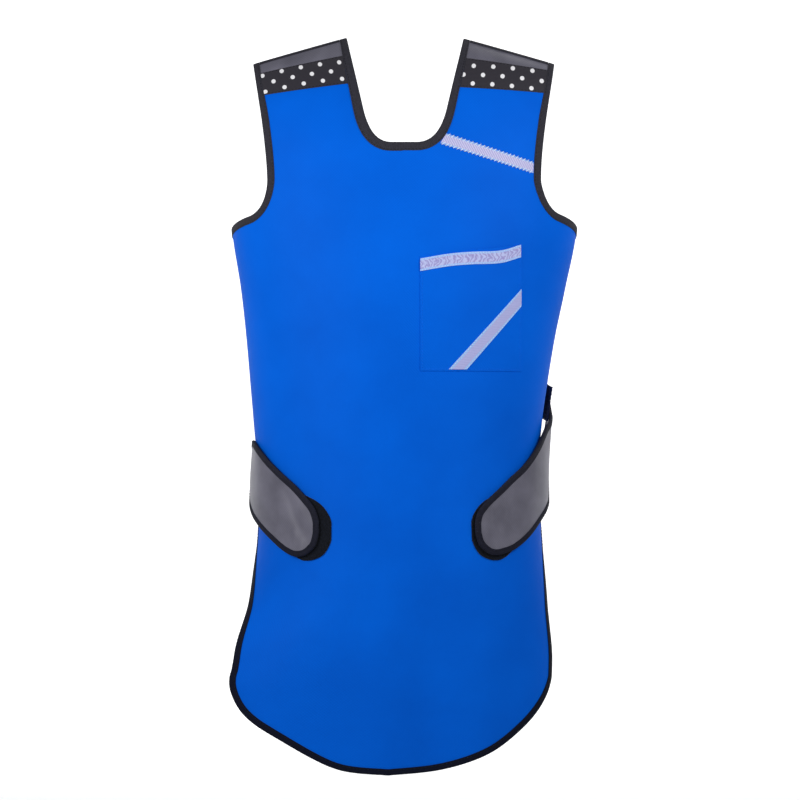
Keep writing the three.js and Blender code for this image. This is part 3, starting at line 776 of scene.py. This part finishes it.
# %% Stitch helper
STITCH_PITCH, STITCH_LENGTH, STITCH_WIDTH, STITCH_RISE = 4.6, 3.2, 0.8, 0.6
SEAM_RUN, SEAM_POINTS = (0.01, 0.99), 60

stitch_bm = bmesh.new()
bmesh.ops.create_uvsphere(stitch_bm, u_segments=6, v_segments=4, radius=0.5)
stitch = bpy.data.meshes.new("stitch")
stitch_bm.to_mesh(stitch)
stitch_bm.free()


def resample(points, pitch):
    reach = np.concatenate([[0], np.cumsum(np.linalg.norm(np.diff(points, axis=0), axis=1))])
    count = max(int(reach[-1] / (pitch * MM)), 2)
    return reach, np.linspace(0, reach[-1], count + 1)


def between_points(values, reach, at):
    return np.stack([np.interp(at, reach, values[:, k]) for k in range(3)], axis=1)


def seam_at(angle, height, lift):
    return place(angle, height, lift), directions(angle, height)[2]


def sew(
    name, seams, slot, material, pitch=STITCH_PITCH, length=STITCH_LENGTH, width=STITCH_WIDTH, slant=0.0
):
    bm = bmesh.new()
    lozenge = np.array([vert.co for vert in stitch.vertices]) * (length * MM, width * MM, STITCH_RISE * MM)
    sewn = []
    for points, normals in seams:
        reach, marks = resample(points, pitch)
        middles = (marks[1:] + marks[:-1]) / 2
        spots = between_points(points, reach, middles)
        ahead = between_points(points, reach, middles + MM / 2) - spots
        out = unit(between_points(normals, reach, middles))
        straight = unit(ahead - out * (ahead * out).sum(-1, keepdims=True))
        along = math.cos(slant) * straight + math.sin(slant) * np.cross(out, straight)
        axes = np.stack([along, np.cross(out, along), out], axis=1)
        sewn.append(spots[:, None] + lozenge @ axes)
    corners = np.concatenate(sewn).reshape(-1, 3)
    for _ in range(len(corners) // len(lozenge)):
        bm.from_mesh(stitch)
    for vert, corner in zip(bm.verts, corners):
        vert.co = corner
    return new_piece(bm, name, None, material, 0)


print("stitch:", len(stitch.polygons), "faces")

# %% [markdown]
# ## Bound edges
#
# Binding is a flat tape folded over an edge, with one flap on either side. Its section is two straight
# flaps and a half round, swept along the edge. On a sharp corner the flaps would cross each other, so
# the sideways direction is averaged over a short stretch, as a sewer eases the tape round.

# %% Fold a tape over an edge
TAPE = 0.8
TAPE_SLACK = 0.12
TAPE_ROWS, SOFT_EDGE = 14, 0.2
FOLD_START, FOLD_DEPTH = 0.2, 0.8
FLAP_SHARE = 0.36
PATH_STEP = 4.0
EASE_STEPS = 3
SEAM_IN = 1.9


def even_path(angle, height):
    points = place(angle, height)
    reach, marks = resample(points, PATH_STEP)
    return np.interp(marks, reach, angle), np.interp(marks, reach, height)


def sideways(angle, height):
    points = place(angle, height)
    along = np.gradient(points, axis=0)
    out = directions(angle, height)[2]
    side = unit(np.cross(along, out))
    padded = np.concatenate([side[:1]] * EASE_STEPS + [side] + [side[-1:]] * EASE_STEPS)
    width = 2 * EASE_STEPS + 1
    eased = sum(padded[i:i + len(side)] for i in range(width)) / width
    return unit(eased)


def aside(angle, height, direction, distance):
    around, up, _ = directions(angle, height)
    rr, uu, ru = [(a * b).sum(-1) for a, b in ((around, around), (up, up), (around, up))]
    r, u = (direction * around).sum(-1), (direction * up).sum(-1)
    scale = distance / (rr * uu - ru * ru)
    return angle + scale * (r * uu - u * ru), height + scale * (u * rr - r * ru)


def bind(name, node, path, reach_at, core, lift_at):
    angle, height = even_path(*path)
    side = sideways(angle, height)
    reach = reach_at(angle, height)
    half = core / 2 + TAPE_SLACK + TAPE / 2
    length = np.linalg.norm(np.diff(place(angle, height), axis=0), axis=1).sum()
    steps = np.arange(len(angle))

    def point(index, out, lift):
        spot_angle, spot_height = aside(angle[index], height[index], side[index], out)
        return place(spot_angle, spot_height, lift_at(spot_angle, spot_height) + lift)

    def shape(u, v):
        index = np.rint(u * steps[-1]).astype(int)
        flap_reach = reach[index]
        turn = np.clip((v - FLAP_SHARE) / (1 - 2 * FLAP_SHARE), 0, 1) * np.pi
        flap = np.minimum(np.minimum(v, 1 - v) / FLAP_SHARE, 1)
        out = lerp(-flap_reach, FOLD_START, flap) + FOLD_DEPTH * np.sin(turn)
        across = lerp(flap_reach, 0, flap) * np.sign(v - 0.5)
        cloth = np.stack([u * length, across * MM], axis=-1)
        return point(index, out, half * np.cos(turn)), cloth

    bm = new_cloth()
    bend_grid(bm, steps[-1], TAPE_ROWS, shape)
    bmesh.ops.reverse_faces(bm, faces=bm.faces)
    tape = new_piece(bm, name, node, black_tape, TAPE, SOFT_EDGE)
    top = half + TAPE / 2
    seams = []
    for face in (1, -1):
        points = point(steps, SEAM_IN - reach, face * top)
        seams.append((points, face * directions(angle, height)[2]))
    thread = sew(name + "_stitches", seams, "black_tape", charcoal_thread)


print("tape:", TAPE, "mm thick, folded round", 2 * TAPE_SLACK, "mm of play")

# %% [markdown]
# The flaps reach further in at the armholes than at the hem, so a table gives their reach at each height.
# One tape runs from the left shoulder crest down the armhole, round the hem and up to the right crest.
# Another one follows the neck from crest to crest.

# %% Bind the panel
EDGE_REACH = chart(
    "height reach", (-939, 6.8), (-900, 7.8), (-830, 9), (-700, 9.2), (-243, 9), (-215, 9), (-170, 10.2),
    (-100, 9.6), (-50, 7.6), (0, 6.6),
)
NECK_REACH = {
    "left": chart("height reach", (-140, 10.4), (-115, 12), (-70, 11), (0, 8)),
    "right": chart("height reach", (-140, 10.4), (-115, 10), (-70, 9), (0, 7.4)),
}
DENSE = np.linspace(0, 1, 161)
CAP_POINTS = 40


def on_the_form(angle, height):
    return np.zeros_like(angle)


def edge_reach(angle, height):
    return read(EDGE_REACH, "reach", height)


def neck_reach(angle, height):
    left, right = [read(NECK_REACH[side], "reach", height) for side in SIDES]
    return np.where(angle < 0, left, right)


def even_reach(reach):
    return lambda angle, height: np.full_like(height, reach)


def outline(side):
    cap = lerp(CREST, SEAM, DENSE[:CAP_POINTS])
    runs = [
        (arm_edge(cap), cap),
        armhole_line(side, 1 - DENSE),
        lower_half(side, lerp(TURN, 1, DENSE), np.ones_like(DENSE)),
        lower_half(side, np.ones_like(DENSE), 1 - DENSE),
        lower_half(side, 1 - DENSE, np.zeros_like(DENSE)),
    ]
    angle, height = (np.concatenate(values) for values in zip(*runs))
    return SIDES[side] * angle, height


def throat(side):
    cap = lerp(CREST, SEAM, DENSE[:CAP_POINTS])
    neck = neck_line(side, lerp(1, NECK_SHARES[0], DENSE))
    angle = np.concatenate([neck_edge(side, cap), neck[0]])
    return SIDES[side] * angle, np.concatenate([cap, neck[1]])


left_edge, right_edge = outline("left"), outline("right")
edge_path = [np.concatenate([a, b[::-1]]) for a, b in zip(left_edge, right_edge)]
bind("edge_tape", "edge_binding", edge_path, edge_reach, PANEL, on_the_form)
neck_path = [np.concatenate([b, a[::-1]]) for a, b in zip(throat("left"), throat("right"))]
bind("neck_tape", "neck_binding", neck_path, neck_reach, PANEL, on_the_form)

# %% [markdown]
# ## Shoulder caps
#
# A grey cap closes each shoulder. It runs on from the top of the panel to the crest, and a short tape
# binds its end between the tapes of neck and armhole.

# %% Shoulder caps
CAP_REACH, CAP_GAP = 5.5, 0.5
CAP_GRID = (30, 20)
CREST_POINTS = 41


def tape_to_tape(side, height, gap):
    ends = []
    for edge, reach, sign in ((neck_edge(side, height), neck_reach, 1), (arm_edge(height), edge_reach, -1)):
        per_degree = np.linalg.norm(directions(edge, height)[0], axis=-1)
        ends.append(edge + sign * (reach(SIDES[side] * edge, height) + gap) / per_degree)
    return ends


def cap_shape(side, u, v):
    height = lerp(SEAM + CAP_GAP, CREST, v)
    angle = SIDES[side] * lerp(neck_edge(side, height), arm_edge(height), mirrored(side, u))
    return worn(angle, height)


def crest_path(side):
    height = np.full(CREST_POINTS, float(CREST))
    neck, arm = tape_to_tape(side, height, CAP_GAP)
    angle = lerp(arm, neck, np.linspace(0, 1, CREST_POINTS))
    return (angle, height) if side == "right" else (-angle[::-1], height)


for side in SIDES:
    cap = cut_cloth(
        f"cap_cloth_{side}", f"shoulder_cap_{side}", grey_nylon, PANEL, CAP_GRID,
        partial(cap_shape, side),
    )
    bind(
        f"cap_tape_{side}", f"cap_binding_{side}", crest_path(side), even_reach(CAP_REACH), PANEL,
        on_the_form,
    )

# %% [markdown]
# ## Dotted shoulder bands
#
# A dotted ribbon covers the seam between panel and cap, from tape to tape. Its rows of dots bow a little
# over the shoulder. They are laid out as seen from the front, at the depth of the band: a first dot, the
# steps from it, and the rise and bow of a row.

# %% Dotted bands
RIBBON, LAYER_GAP = 0.9, 0.15
ON_PANEL = PANEL / 2 + LAYER_GAP
BAND_GAP = 0.3
BAND_GRID, BAND_SEAMS = (48, 18), (0.04, 0.96)
DOT_DEPTH = 0.07
BANDS = {
    "left": {"neck": (-61.3, -27), "arm": (-61.3, -27)},
    "right": {"neck": (-65.6, -29.5), "arm": (-58, -21.5)},
}
DOT_ROWS = {
    # first dot of a row, step across, step up, lean of a column, rise and bow of a row
    "left": ((-179.1, -62.1), 24.8, 21.6, 3.8, 6.5, -0.58),
    "right": ((89.1, -51.4), 25.3, 22.8, -1.3, -0.6, -0.49),
}


def front_view(points):
    nearness = (STAND_OFF + DOT_DEPTH) / (points[:, 1] - EYE.y)
    return [(points[:, k] - EYE[k]) * nearness / MM + EYE[k] / MM for k in (0, 2)]


def band_point(side, t, up):
    band = BANDS[side]
    height = lerp(lerp(*band["neck"], up), lerp(*band["arm"], up), t)
    return SIDES[side] * lerp(*tape_to_tape(side, height, BAND_GAP), t), height


def band_shape(side, u, v):
    angle, height = band_point(side, mirrored(side, u), v)
    points = place(angle, height, ON_PANEL + RIBBON / 2)
    (first_x, first_z), across, up, lean, rise, bow = DOT_ROWS[side]
    x, z = front_view(points)
    column = (x - first_x) / across
    row = (z - first_z - rise * column - bow * column**2) / up
    cloth = np.stack([(column + lean / across * row) * DOT_STEP[0], row * DOT_STEP[1]], axis=-1)
    return points, cloth * MM


def band_seam(side, up):
    t = np.linspace(*SEAM_RUN, SEAM_POINTS)
    return seam_at(*band_point(side, t, np.full_like(t, up)), ON_PANEL + RIBBON)


for side in SIDES:
    band = cut_cloth(
        f"dot_band_{side}", f"dotted_band_{side}", dotted_ribbon, RIBBON, BAND_GRID,
        partial(band_shape, side), SOFT_EDGE,
    )
    seams = [band_seam(side, up) for up in BAND_SEAMS]
    thread = sew(f"dot_band_{side}_stitches", seams, "dotted_ribbon", charcoal_thread)

# %% [markdown]
# ## The chest pocket
#
# A patch of the same blue cloth is sewn on three sides and left slack, so its mouth stands a little
# proud and its sewn edges lie close to the panel. A row of blue stitches runs round the sewn sides.

# %% Chest pocket
POCKET = 0.9
POCKET_SLACK, POCKET_FULL = 1.2, 0.85
POCKET_EDGE, POCKET_GRID = 0.35, (56, 66)
POCKET_INSET, POCKET_SEAM_TOP = 2.4, 0.93
POCKET_LEFT, POCKET_RIGHT, POCKET_LOW = 20.5, 150, -424
POCKET_WIDTH, POCKET_TALL = POCKET_RIGHT - POCKET_LEFT, 150
CHEST_POCKET = {
    "low_left": (POCKET_LEFT, POCKET_LOW), "low_right": (POCKET_RIGHT, POCKET_LOW),
    "high_right": (POCKET_RIGHT, -262), "high_left": (POCKET_LEFT, -278.5),
}


def corner_point(corners, u, v):
    low_left, low_right, high_right, high_left = [np.array(corner, float) for corner in corners.values()]
    u, v = np.asarray(u)[:, None], np.asarray(v)[:, None]
    across, height = lerp(lerp(low_left, low_right, u), lerp(high_left, high_right, u), v).T
    return angle_across(across, height), across, height


def pocket_lift(u, v):
    belly = np.sin(np.pi * u) * np.sin(np.pi * np.minimum(v, POCKET_FULL) / (2 * POCKET_FULL))
    return ON_PANEL + POCKET / 2 + POCKET_SLACK * belly


def pocket_shape(u, v):
    angle, _, height = corner_point(CHEST_POCKET, u, v)
    return worn(angle, height, pocket_lift(u, v))


def pocket_seam():
    x, y = POCKET_INSET / POCKET_WIDTH, POCKET_INSET / POCKET_TALL
    down = np.linspace(POCKET_SEAM_TOP, y, SEAM_POINTS)
    base = np.linspace(x, 1 - x, SEAM_POINTS)
    level = np.ones(SEAM_POINTS)
    u = np.concatenate([x * level, base, (1 - x) * level])
    v = np.concatenate([down, y * level, down[::-1]])
    angle, _, height = corner_point(CHEST_POCKET, u, v)
    return seam_at(angle, height, pocket_lift(u, v) + POCKET / 2)


pocket = cut_cloth(
    "pocket_cloth", "chest_pocket", blue_nylon, POCKET, POCKET_GRID, pocket_shape, POCKET_EDGE
)
thread = sew("pocket_stitches", [pocket_seam()], "blue_nylon", blue_thread, pitch=4.0, length=2.8)

# %% [markdown]
# ## Lavender ribbons
#
# Three lengths of ribbon decorate the right side: one slants over the chest, one lies on the pocket
# mouth and waves a little, and one crosses the pocket from its lower edge to its side. Each has its
# flat coordinates along and across its own middle line, so that its weave follows it.

# %% Ribbon helpers
SHOULDER_RIBBON = {
    "low_left": (46, -133.6), "low_right": (165.4, -169.5),
    "high_right": (165.8, -155.5), "high_left": (54, -121.6),
}
SLANT_RIBBON = {
    "low_left": (56.2, -422), "low_right": (79.2, -422),
    "high_right": (149, -340.4), "high_left": (149, -318.6),
}
MOUTH_RIBBON = chart("across middle", (20.5, -289.5), (58, -283), (84, -280.5), (122, -278), (148.5, -270))


def along_ribbon(corners, start, end):
    corner = {key: np.array(value, float) for key, value in corners.items()}
    origin = (corner[start[0]] + corner[start[1]]) / 2
    axis = unit((corner[end[0]] + corner[end[1]]) / 2 - origin)

    def flat(across, height):
        x, z = across - origin[0], height - origin[1]
        return np.stack([x * axis[0] + z * axis[1], z * axis[0] - x * axis[1]], axis=-1) * MM
    return flat


def ribbon_piece(name, node, material, grid, spot, seams, stitches):
    def shape(u, v):
        angle, height, lift, cloth = spot(u, v)
        return place(angle, height, lift), cloth

    ribbon = cut_cloth(name, node, material, RIBBON, grid, shape, SOFT_EDGE)
    runs = []
    for u, v in seams:
        angle, height, lift, _ = spot(u, v)
        runs.append(seam_at(angle, height, lift + RIBBON / 2))
    thread = sew(name + "_stitches", runs, "lavender_ribbon", pale_thread, **stitches)


print("ribbons:", RIBBON_WIDTH, "and", SLANT_WIDTH, "mm wide")

# %% [markdown]
# Two ribbons rest on the pocket, so they rise with its slack cloth, and the third one lies on the panel.
# Long slanting stitches hold the edges of the chest ribbon, and short plain ones hold the others.

# %% Sew on the ribbons
RIBBON_GRID = (60, 8)
RIBBON_POINTS, EDGE_SHARES = 80, (0.07, 0.93)
SLANTING = {"pitch": 5.0, "length": 6.4, "width": 1.5, "slant": 0.95}
PLAIN = {"pitch": 3.6, "length": 2.6}

chest_flat = along_ribbon(SHOULDER_RIBBON, ("low_left", "high_left"), ("low_right", "high_right"))
slant_flat = along_ribbon(SLANT_RIBBON, ("low_left", "low_right"), ("high_left", "high_right"))


def chest_spot(u, v):
    angle, across, height = corner_point(SHOULDER_RIBBON, u, v)
    return angle, height, np.full_like(angle, ON_PANEL + RIBBON / 2), chest_flat(across, height)


def over_pocket(u, height):
    v = np.minimum((height - POCKET_LOW) / POCKET_TALL, 1)
    return pocket_lift(u, v) + POCKET / 2 + LAYER_GAP + RIBBON / 2


def slant_spot(u, v):
    angle, across, height = corner_point(SLANT_RIBBON, u, v)
    lift = over_pocket((across - POCKET_LEFT) / POCKET_WIDTH, height)
    return angle, height, lift, slant_flat(across, height)


def mouth_spot(u, v):
    across = lerp(MOUTH_RIBBON["across"][0], MOUTH_RIBBON["across"][-1], u)
    offset = (v - 0.5) * RIBBON_WIDTH
    height = read(MOUTH_RIBBON, "middle", across) + offset
    cloth = np.stack([across, offset], axis=-1) * MM
    return angle_across(across, height), height, over_pocket(u, height), cloth


run = np.linspace(*SEAM_RUN, RIBBON_POINTS)
long_edges = [(run, np.full_like(run, share)) for share in EDGE_SHARES]
tall_edges = [(np.full_like(run, share), run) for share in EDGE_SHARES]
ribbon_piece(
    "chest_ribbon", "shoulder_ribbon", twill_ribbon, RIBBON_GRID, chest_spot, long_edges,
    SLANTING,
)
ribbon_piece(
    "mouth_ribbon", "pocket_top_ribbon", zigzag_ribbon, RIBBON_GRID, mouth_spot, long_edges,
    PLAIN,
)
ribbon_piece(
    "slant_ribbon", "pocket_slant_ribbon", lined_ribbon, RIBBON_GRID[::-1], slant_spot, tall_edges,
    PLAIN,
)

# %% [markdown]
# ## Loop patches and belt wings
#
# A belt wing comes round from each side and ends in a round tip, which grips a loop patch on the panel.
# A table gives both edges of a patch at each angle. The patch is a fine grid whose vertices are pushed
# out by random amounts, so that it is as nubby as real pile.

# %% Loop patches
LOOP = 1.2
PILE, PILE_SEED = 0.45, 7
LOOP_GRID = (64, 60)
LOOP_PATCH = chart(
    "angle top bottom",
    (28.3, -617, -640), (29.2, -609, -648), (31.5, -599, -658.5), (34.7, -591, -664),
    (38.2, -586, -666.5), (42.4, -581, -665.5), (48, -575, -657), (58, -560, -632),
)
LOOP_SHIFT = {"left": (-0.5, 0), "right": (1.6, 0.5)}


def strip_angle(table, u):
    return np.interp(u * (len(table["angle"]) - 1), np.arange(len(table["angle"])), table["angle"])


def loop_shape(side, u, v):
    turn, rise = LOOP_SHIFT[side]
    at = strip_angle(LOOP_PATCH, mirrored(side, u))
    height = lerp(read(LOOP_PATCH, "bottom", at), read(LOOP_PATCH, "top", at), v) + rise
    tuft = PILE * np.random.default_rng(PILE_SEED).random(len(at))
    return worn(SIDES[side] * (at + turn), height, ON_PANEL + LOOP / 2 + tuft)


for side in SIDES:
    loop = cut_cloth(
        f"loop_pile_{side}", f"loop_patch_{side}", loop_pile, LOOP, LOOP_GRID,
        partial(loop_shape, side),
    )

# %% [markdown]
# A wing has a table too: both of its edges at each angle, and how far each of them stands off the form.

# %% Tables of the wings
WING_COLUMNS = "angle top bottom top_lift low_lift"
WINGS = {
    "left": chart(
        WING_COLUMNS,
        (33.4, -616, -632, 6.9, 6.9), (34.4, -606, -644.5, 6.9, 6.9), (36, -597, -651.5, 6.9, 6.9),
        (38.6, -588.5, -658, 6.9, 6.9), (41.4, -580, -660.5, 6.9, 6.9), (44.9, -571, -660.5, 6.9, 6.9),
        (50.8, -559.5, -654.5, 6.9, 6.9), (60, -543, -641, 7, 7.3), (72, -523, -624, 7.2, 9),
        (82, -515, -610, 5.4, 11), (91, -516.5, -594, 5.2, 12.8), (99, -519, -568, 8.4, 11.8),
        (107, -518, -551, 9.4, 9.4),
    ),
    "right": chart(
        WING_COLUMNS,
        (31.4, -617, -632, 6.9, 6.9), (32.4, -607, -643, 6.9, 6.9), (34.2, -599.5, -650.5, 6.9, 6.9),
        (37, -591, -656.5, 6.9, 6.9), (40, -584, -658.5, 6.9, 6.9), (44.2, -575, -657, 6.9, 6.9),
        (50.6, -561.5, -652, 6.9, 6.9), (60, -545.5, -639, 7.1, 7.1), (72, -521, -620, 7.6, 8),
        (82, -497, -605, 9.4, 11.4), (91, -485, -589, 14, 13.8), (97, -475, -554, 14.2, 14.4),
        (103, -458, -504, 13.6, 13.6),
    ),
}
print("wings:", {side: len(WINGS[side]["angle"]) for side in SIDES}, "rows")

# %% [markdown]
# The wing cloth is a little full between its tapes, so its middle is lifted in a low crown. One soft
# diagonal crease runs toward the tip where the belt is pulled, and near the tip the cloth puckers a
# little along the lower tape, where the seam holds it.

# %% Belt wings
WING = 2.4
WING_GRID = (180, 36)
WING_REACH = 6.2
WING_SETTLE = 0.8
WING_CROWN, CROWN_EASE = 1.4, 8
CREASE_DEPTH = {"left": 2.2, "right": 1.0}
CREASE_WIDTH, CREASE_FOOT, CREASE_LEAN = 4.0, 34, 18
PUCKER_DEPTH, PUCKER_STEP, PUCKER_LEAN = 0.4, 4.2, 6
PUCKER_START, PUCKER_REACH = 0.08, 0.34
PUCKER_AT, PUCKER_SPREAD = 45, 8
EDGE_POINTS, TIP_POINTS = 200, 10


def wing_lift(side, angle, height):
    table, at = WINGS[side], np.abs(angle)
    low, high = read(table, "bottom", at), read(table, "top", at)
    share = (height - low) / (high - low)
    return lerp(read(table, "low_lift", at), read(table, "top_lift", at), share) - WING_SETTLE


def wing_shape(side, u, v):
    table = WINGS[side]
    at = strip_angle(table, mirrored(side, u))
    height = lerp(read(table, "bottom", at), read(table, "top", at), v)
    angle = SIDES[side] * at
    inside = np.sin(np.pi * v) * np.clip((at - table["angle"][0]) / CROWN_EASE, 0, 1)
    crease = np.exp(-(((at - CREASE_FOOT - CREASE_LEAN * v) / CREASE_WIDTH) ** 2)) * np.sin(np.pi * v)
    near_seam = np.clip(v / PUCKER_START, 0, 1) * np.exp(-((v / PUCKER_REACH) ** 2))
    near_tip = np.exp(-(((at - PUCKER_AT) / PUCKER_SPREAD) ** 2))
    pucker = near_seam * near_tip * np.cos(2 * np.pi * (at + PUCKER_LEAN * v) / PUCKER_STEP)
    lift = wing_lift(side, angle, height) + WING_CROWN * inside
    return worn(angle, height, lift - CREASE_DEPTH[side] * crease + PUCKER_DEPTH * pucker)


def wing_path(side):
    table = WINGS[side]
    at = strip_angle(table, np.linspace(0, 1, EDGE_POINTS))
    top, bottom = read(table, "top", at), read(table, "bottom", at)
    tip = np.linspace(0, 1, TIP_POINTS + 2)[1:-1]
    angle = np.concatenate([at[::-1], np.full(TIP_POINTS, at[0]), at])
    height = np.concatenate([top[::-1], lerp(top[0], bottom[0], tip), bottom])
    return (angle, height) if side == "right" else (-angle[::-1], height[::-1])


for side in SIDES:
    wing = cut_cloth(
        f"wing_cloth_{side}", f"belt_wing_{side}", grey_nylon, WING, WING_GRID,
        partial(wing_shape, side),
    )
    bind(
        f"wing_tape_{side}", f"wing_binding_{side}", wing_path(side), even_reach(WING_REACH), WING,
        partial(wing_lift, side),
    )

# %% [markdown]
# ## The elastic
#
# A ribbed elastic joins the wings round the back. Its ribs are real ridges along its length.

# %% Elastic
WEBBING = 1.6
ELASTIC_WIDTH = 46
ELASTIC_RIBS, RIB_HEIGHT = 9, 0.22
ELASTIC_CORE = WEBBING - 2 * RIB_HEIGHT
ELASTIC_GRID = (160, 8 * ELASTIC_RIBS)
ELASTIC = chart(
    "angle middle lift",
    (94, -465, 9.8), (98, -464.5, 9.8), (103, -462, 8.8), (115, -452, 6), (135, -440, 4), (180, -432, 3.2),
    (225, -456, 3.5), (245, -508, 5), (253, -533, 5.2), (261, -543, 4.4),
)


def elastic_shape(u, v):
    angle = lerp(ELASTIC["angle"][0], ELASTIC["angle"][-1], u)
    height = read(ELASTIC, "middle", angle) + (v - 0.5) * ELASTIC_WIDTH
    rib = RIB_HEIGHT * np.cos(2 * np.pi * ELASTIC_RIBS * v)
    cloth = cloth_map(angle, height)
    cloth[:, 1] = v * ELASTIC_WIDTH * MM
    return place(angle, height, read(ELASTIC, "lift", angle) + rib), cloth


elastic = cut_cloth(
    "elastic_belt", "back_elastic", dark_webbing, ELASTIC_CORE, ELASTIC_GRID, elastic_shape
)

# %% [markdown]
# ## The back straps
#
# A plain strap runs from the elastic up to each shoulder. It is drawn through a few sections, with a
# smooth curve between them, so that it rolls over the shoulder crest and ends under the cap.

# %% Back straps
STRAP_WIDTH, STRAP_EDGE = 50, 0.4
STRAP_GRID = (12, 160)
BACK_STRAP = chart(
    "across height lift front",
    (60, -456, 1.3, 0), (70, -370, 1, 0), (88, -270, 0, 0), (108, -160, 0, 0), (120, -100, 0, 0),
    (128, -56, 0, 0), (134, -24, -1.5, 0), (137, -8, -3.4, 0), (138, -8, -4.9, 1), (138, -18, -4.9, 1),
    (138, -32, -4.9, 1),
)


def through(sections, at):
    gaps = np.linalg.norm(np.diff(sections.mean(axis=1), axis=0), axis=1)
    reach = np.concatenate([[0], np.cumsum(gaps)])
    columns = [
        read({"reach": reach, "value": sections[:, j, k]}, "value", at * reach[-1])
        for j in range(sections.shape[1]) for k in range(3)
    ]
    return np.stack(columns, axis=-1).reshape(len(at), sections.shape[1], 3), reach[-1]


def strap_sections(side):
    across, height, lift, front = BACK_STRAP.values()
    facing = angle_across(SIDES[side] * across, height)
    angle = np.where(front > 0, facing, 180 - facing)
    points = place(angle, height, lift)
    along = np.diff(points, axis=0)
    out = directions(angle, height)[2]
    first, last = np.cross(along[:1], out[:1]), np.cross(along[-1:], out[-1:])
    sides = unit(np.cross(along[:-1], out[1:-1])) + unit(np.cross(along[1:], out[1:-1]))
    sideway = unit(np.concatenate([first, sides, last]))
    edges = [aside(angle, height, sideway, share * STRAP_WIDTH) for share in (-0.5, 0, 0.5)]
    return np.stack([place(*edge, lift) for edge in edges], axis=1)


def strap_shape(sections, u, v):
    rows, length = through(sections, v)
    low, mid, high = rows[:, 0], rows[:, 1], rows[:, 2]
    outer = np.where((u < 0.5)[:, None], low, high)
    points = lerp(mid, outer, np.abs(u - 0.5)[:, None] * 2)
    return points, np.stack([v * length, (u - 0.5) * STRAP_WIDTH * MM], axis=-1)


for side in SIDES:
    strap = cut_cloth(
        f"strap_webbing_{side}", f"back_strap_{side}", dark_webbing, WEBBING, STRAP_GRID,
        partial(strap_shape, strap_sections(side)), STRAP_EDGE,
    )
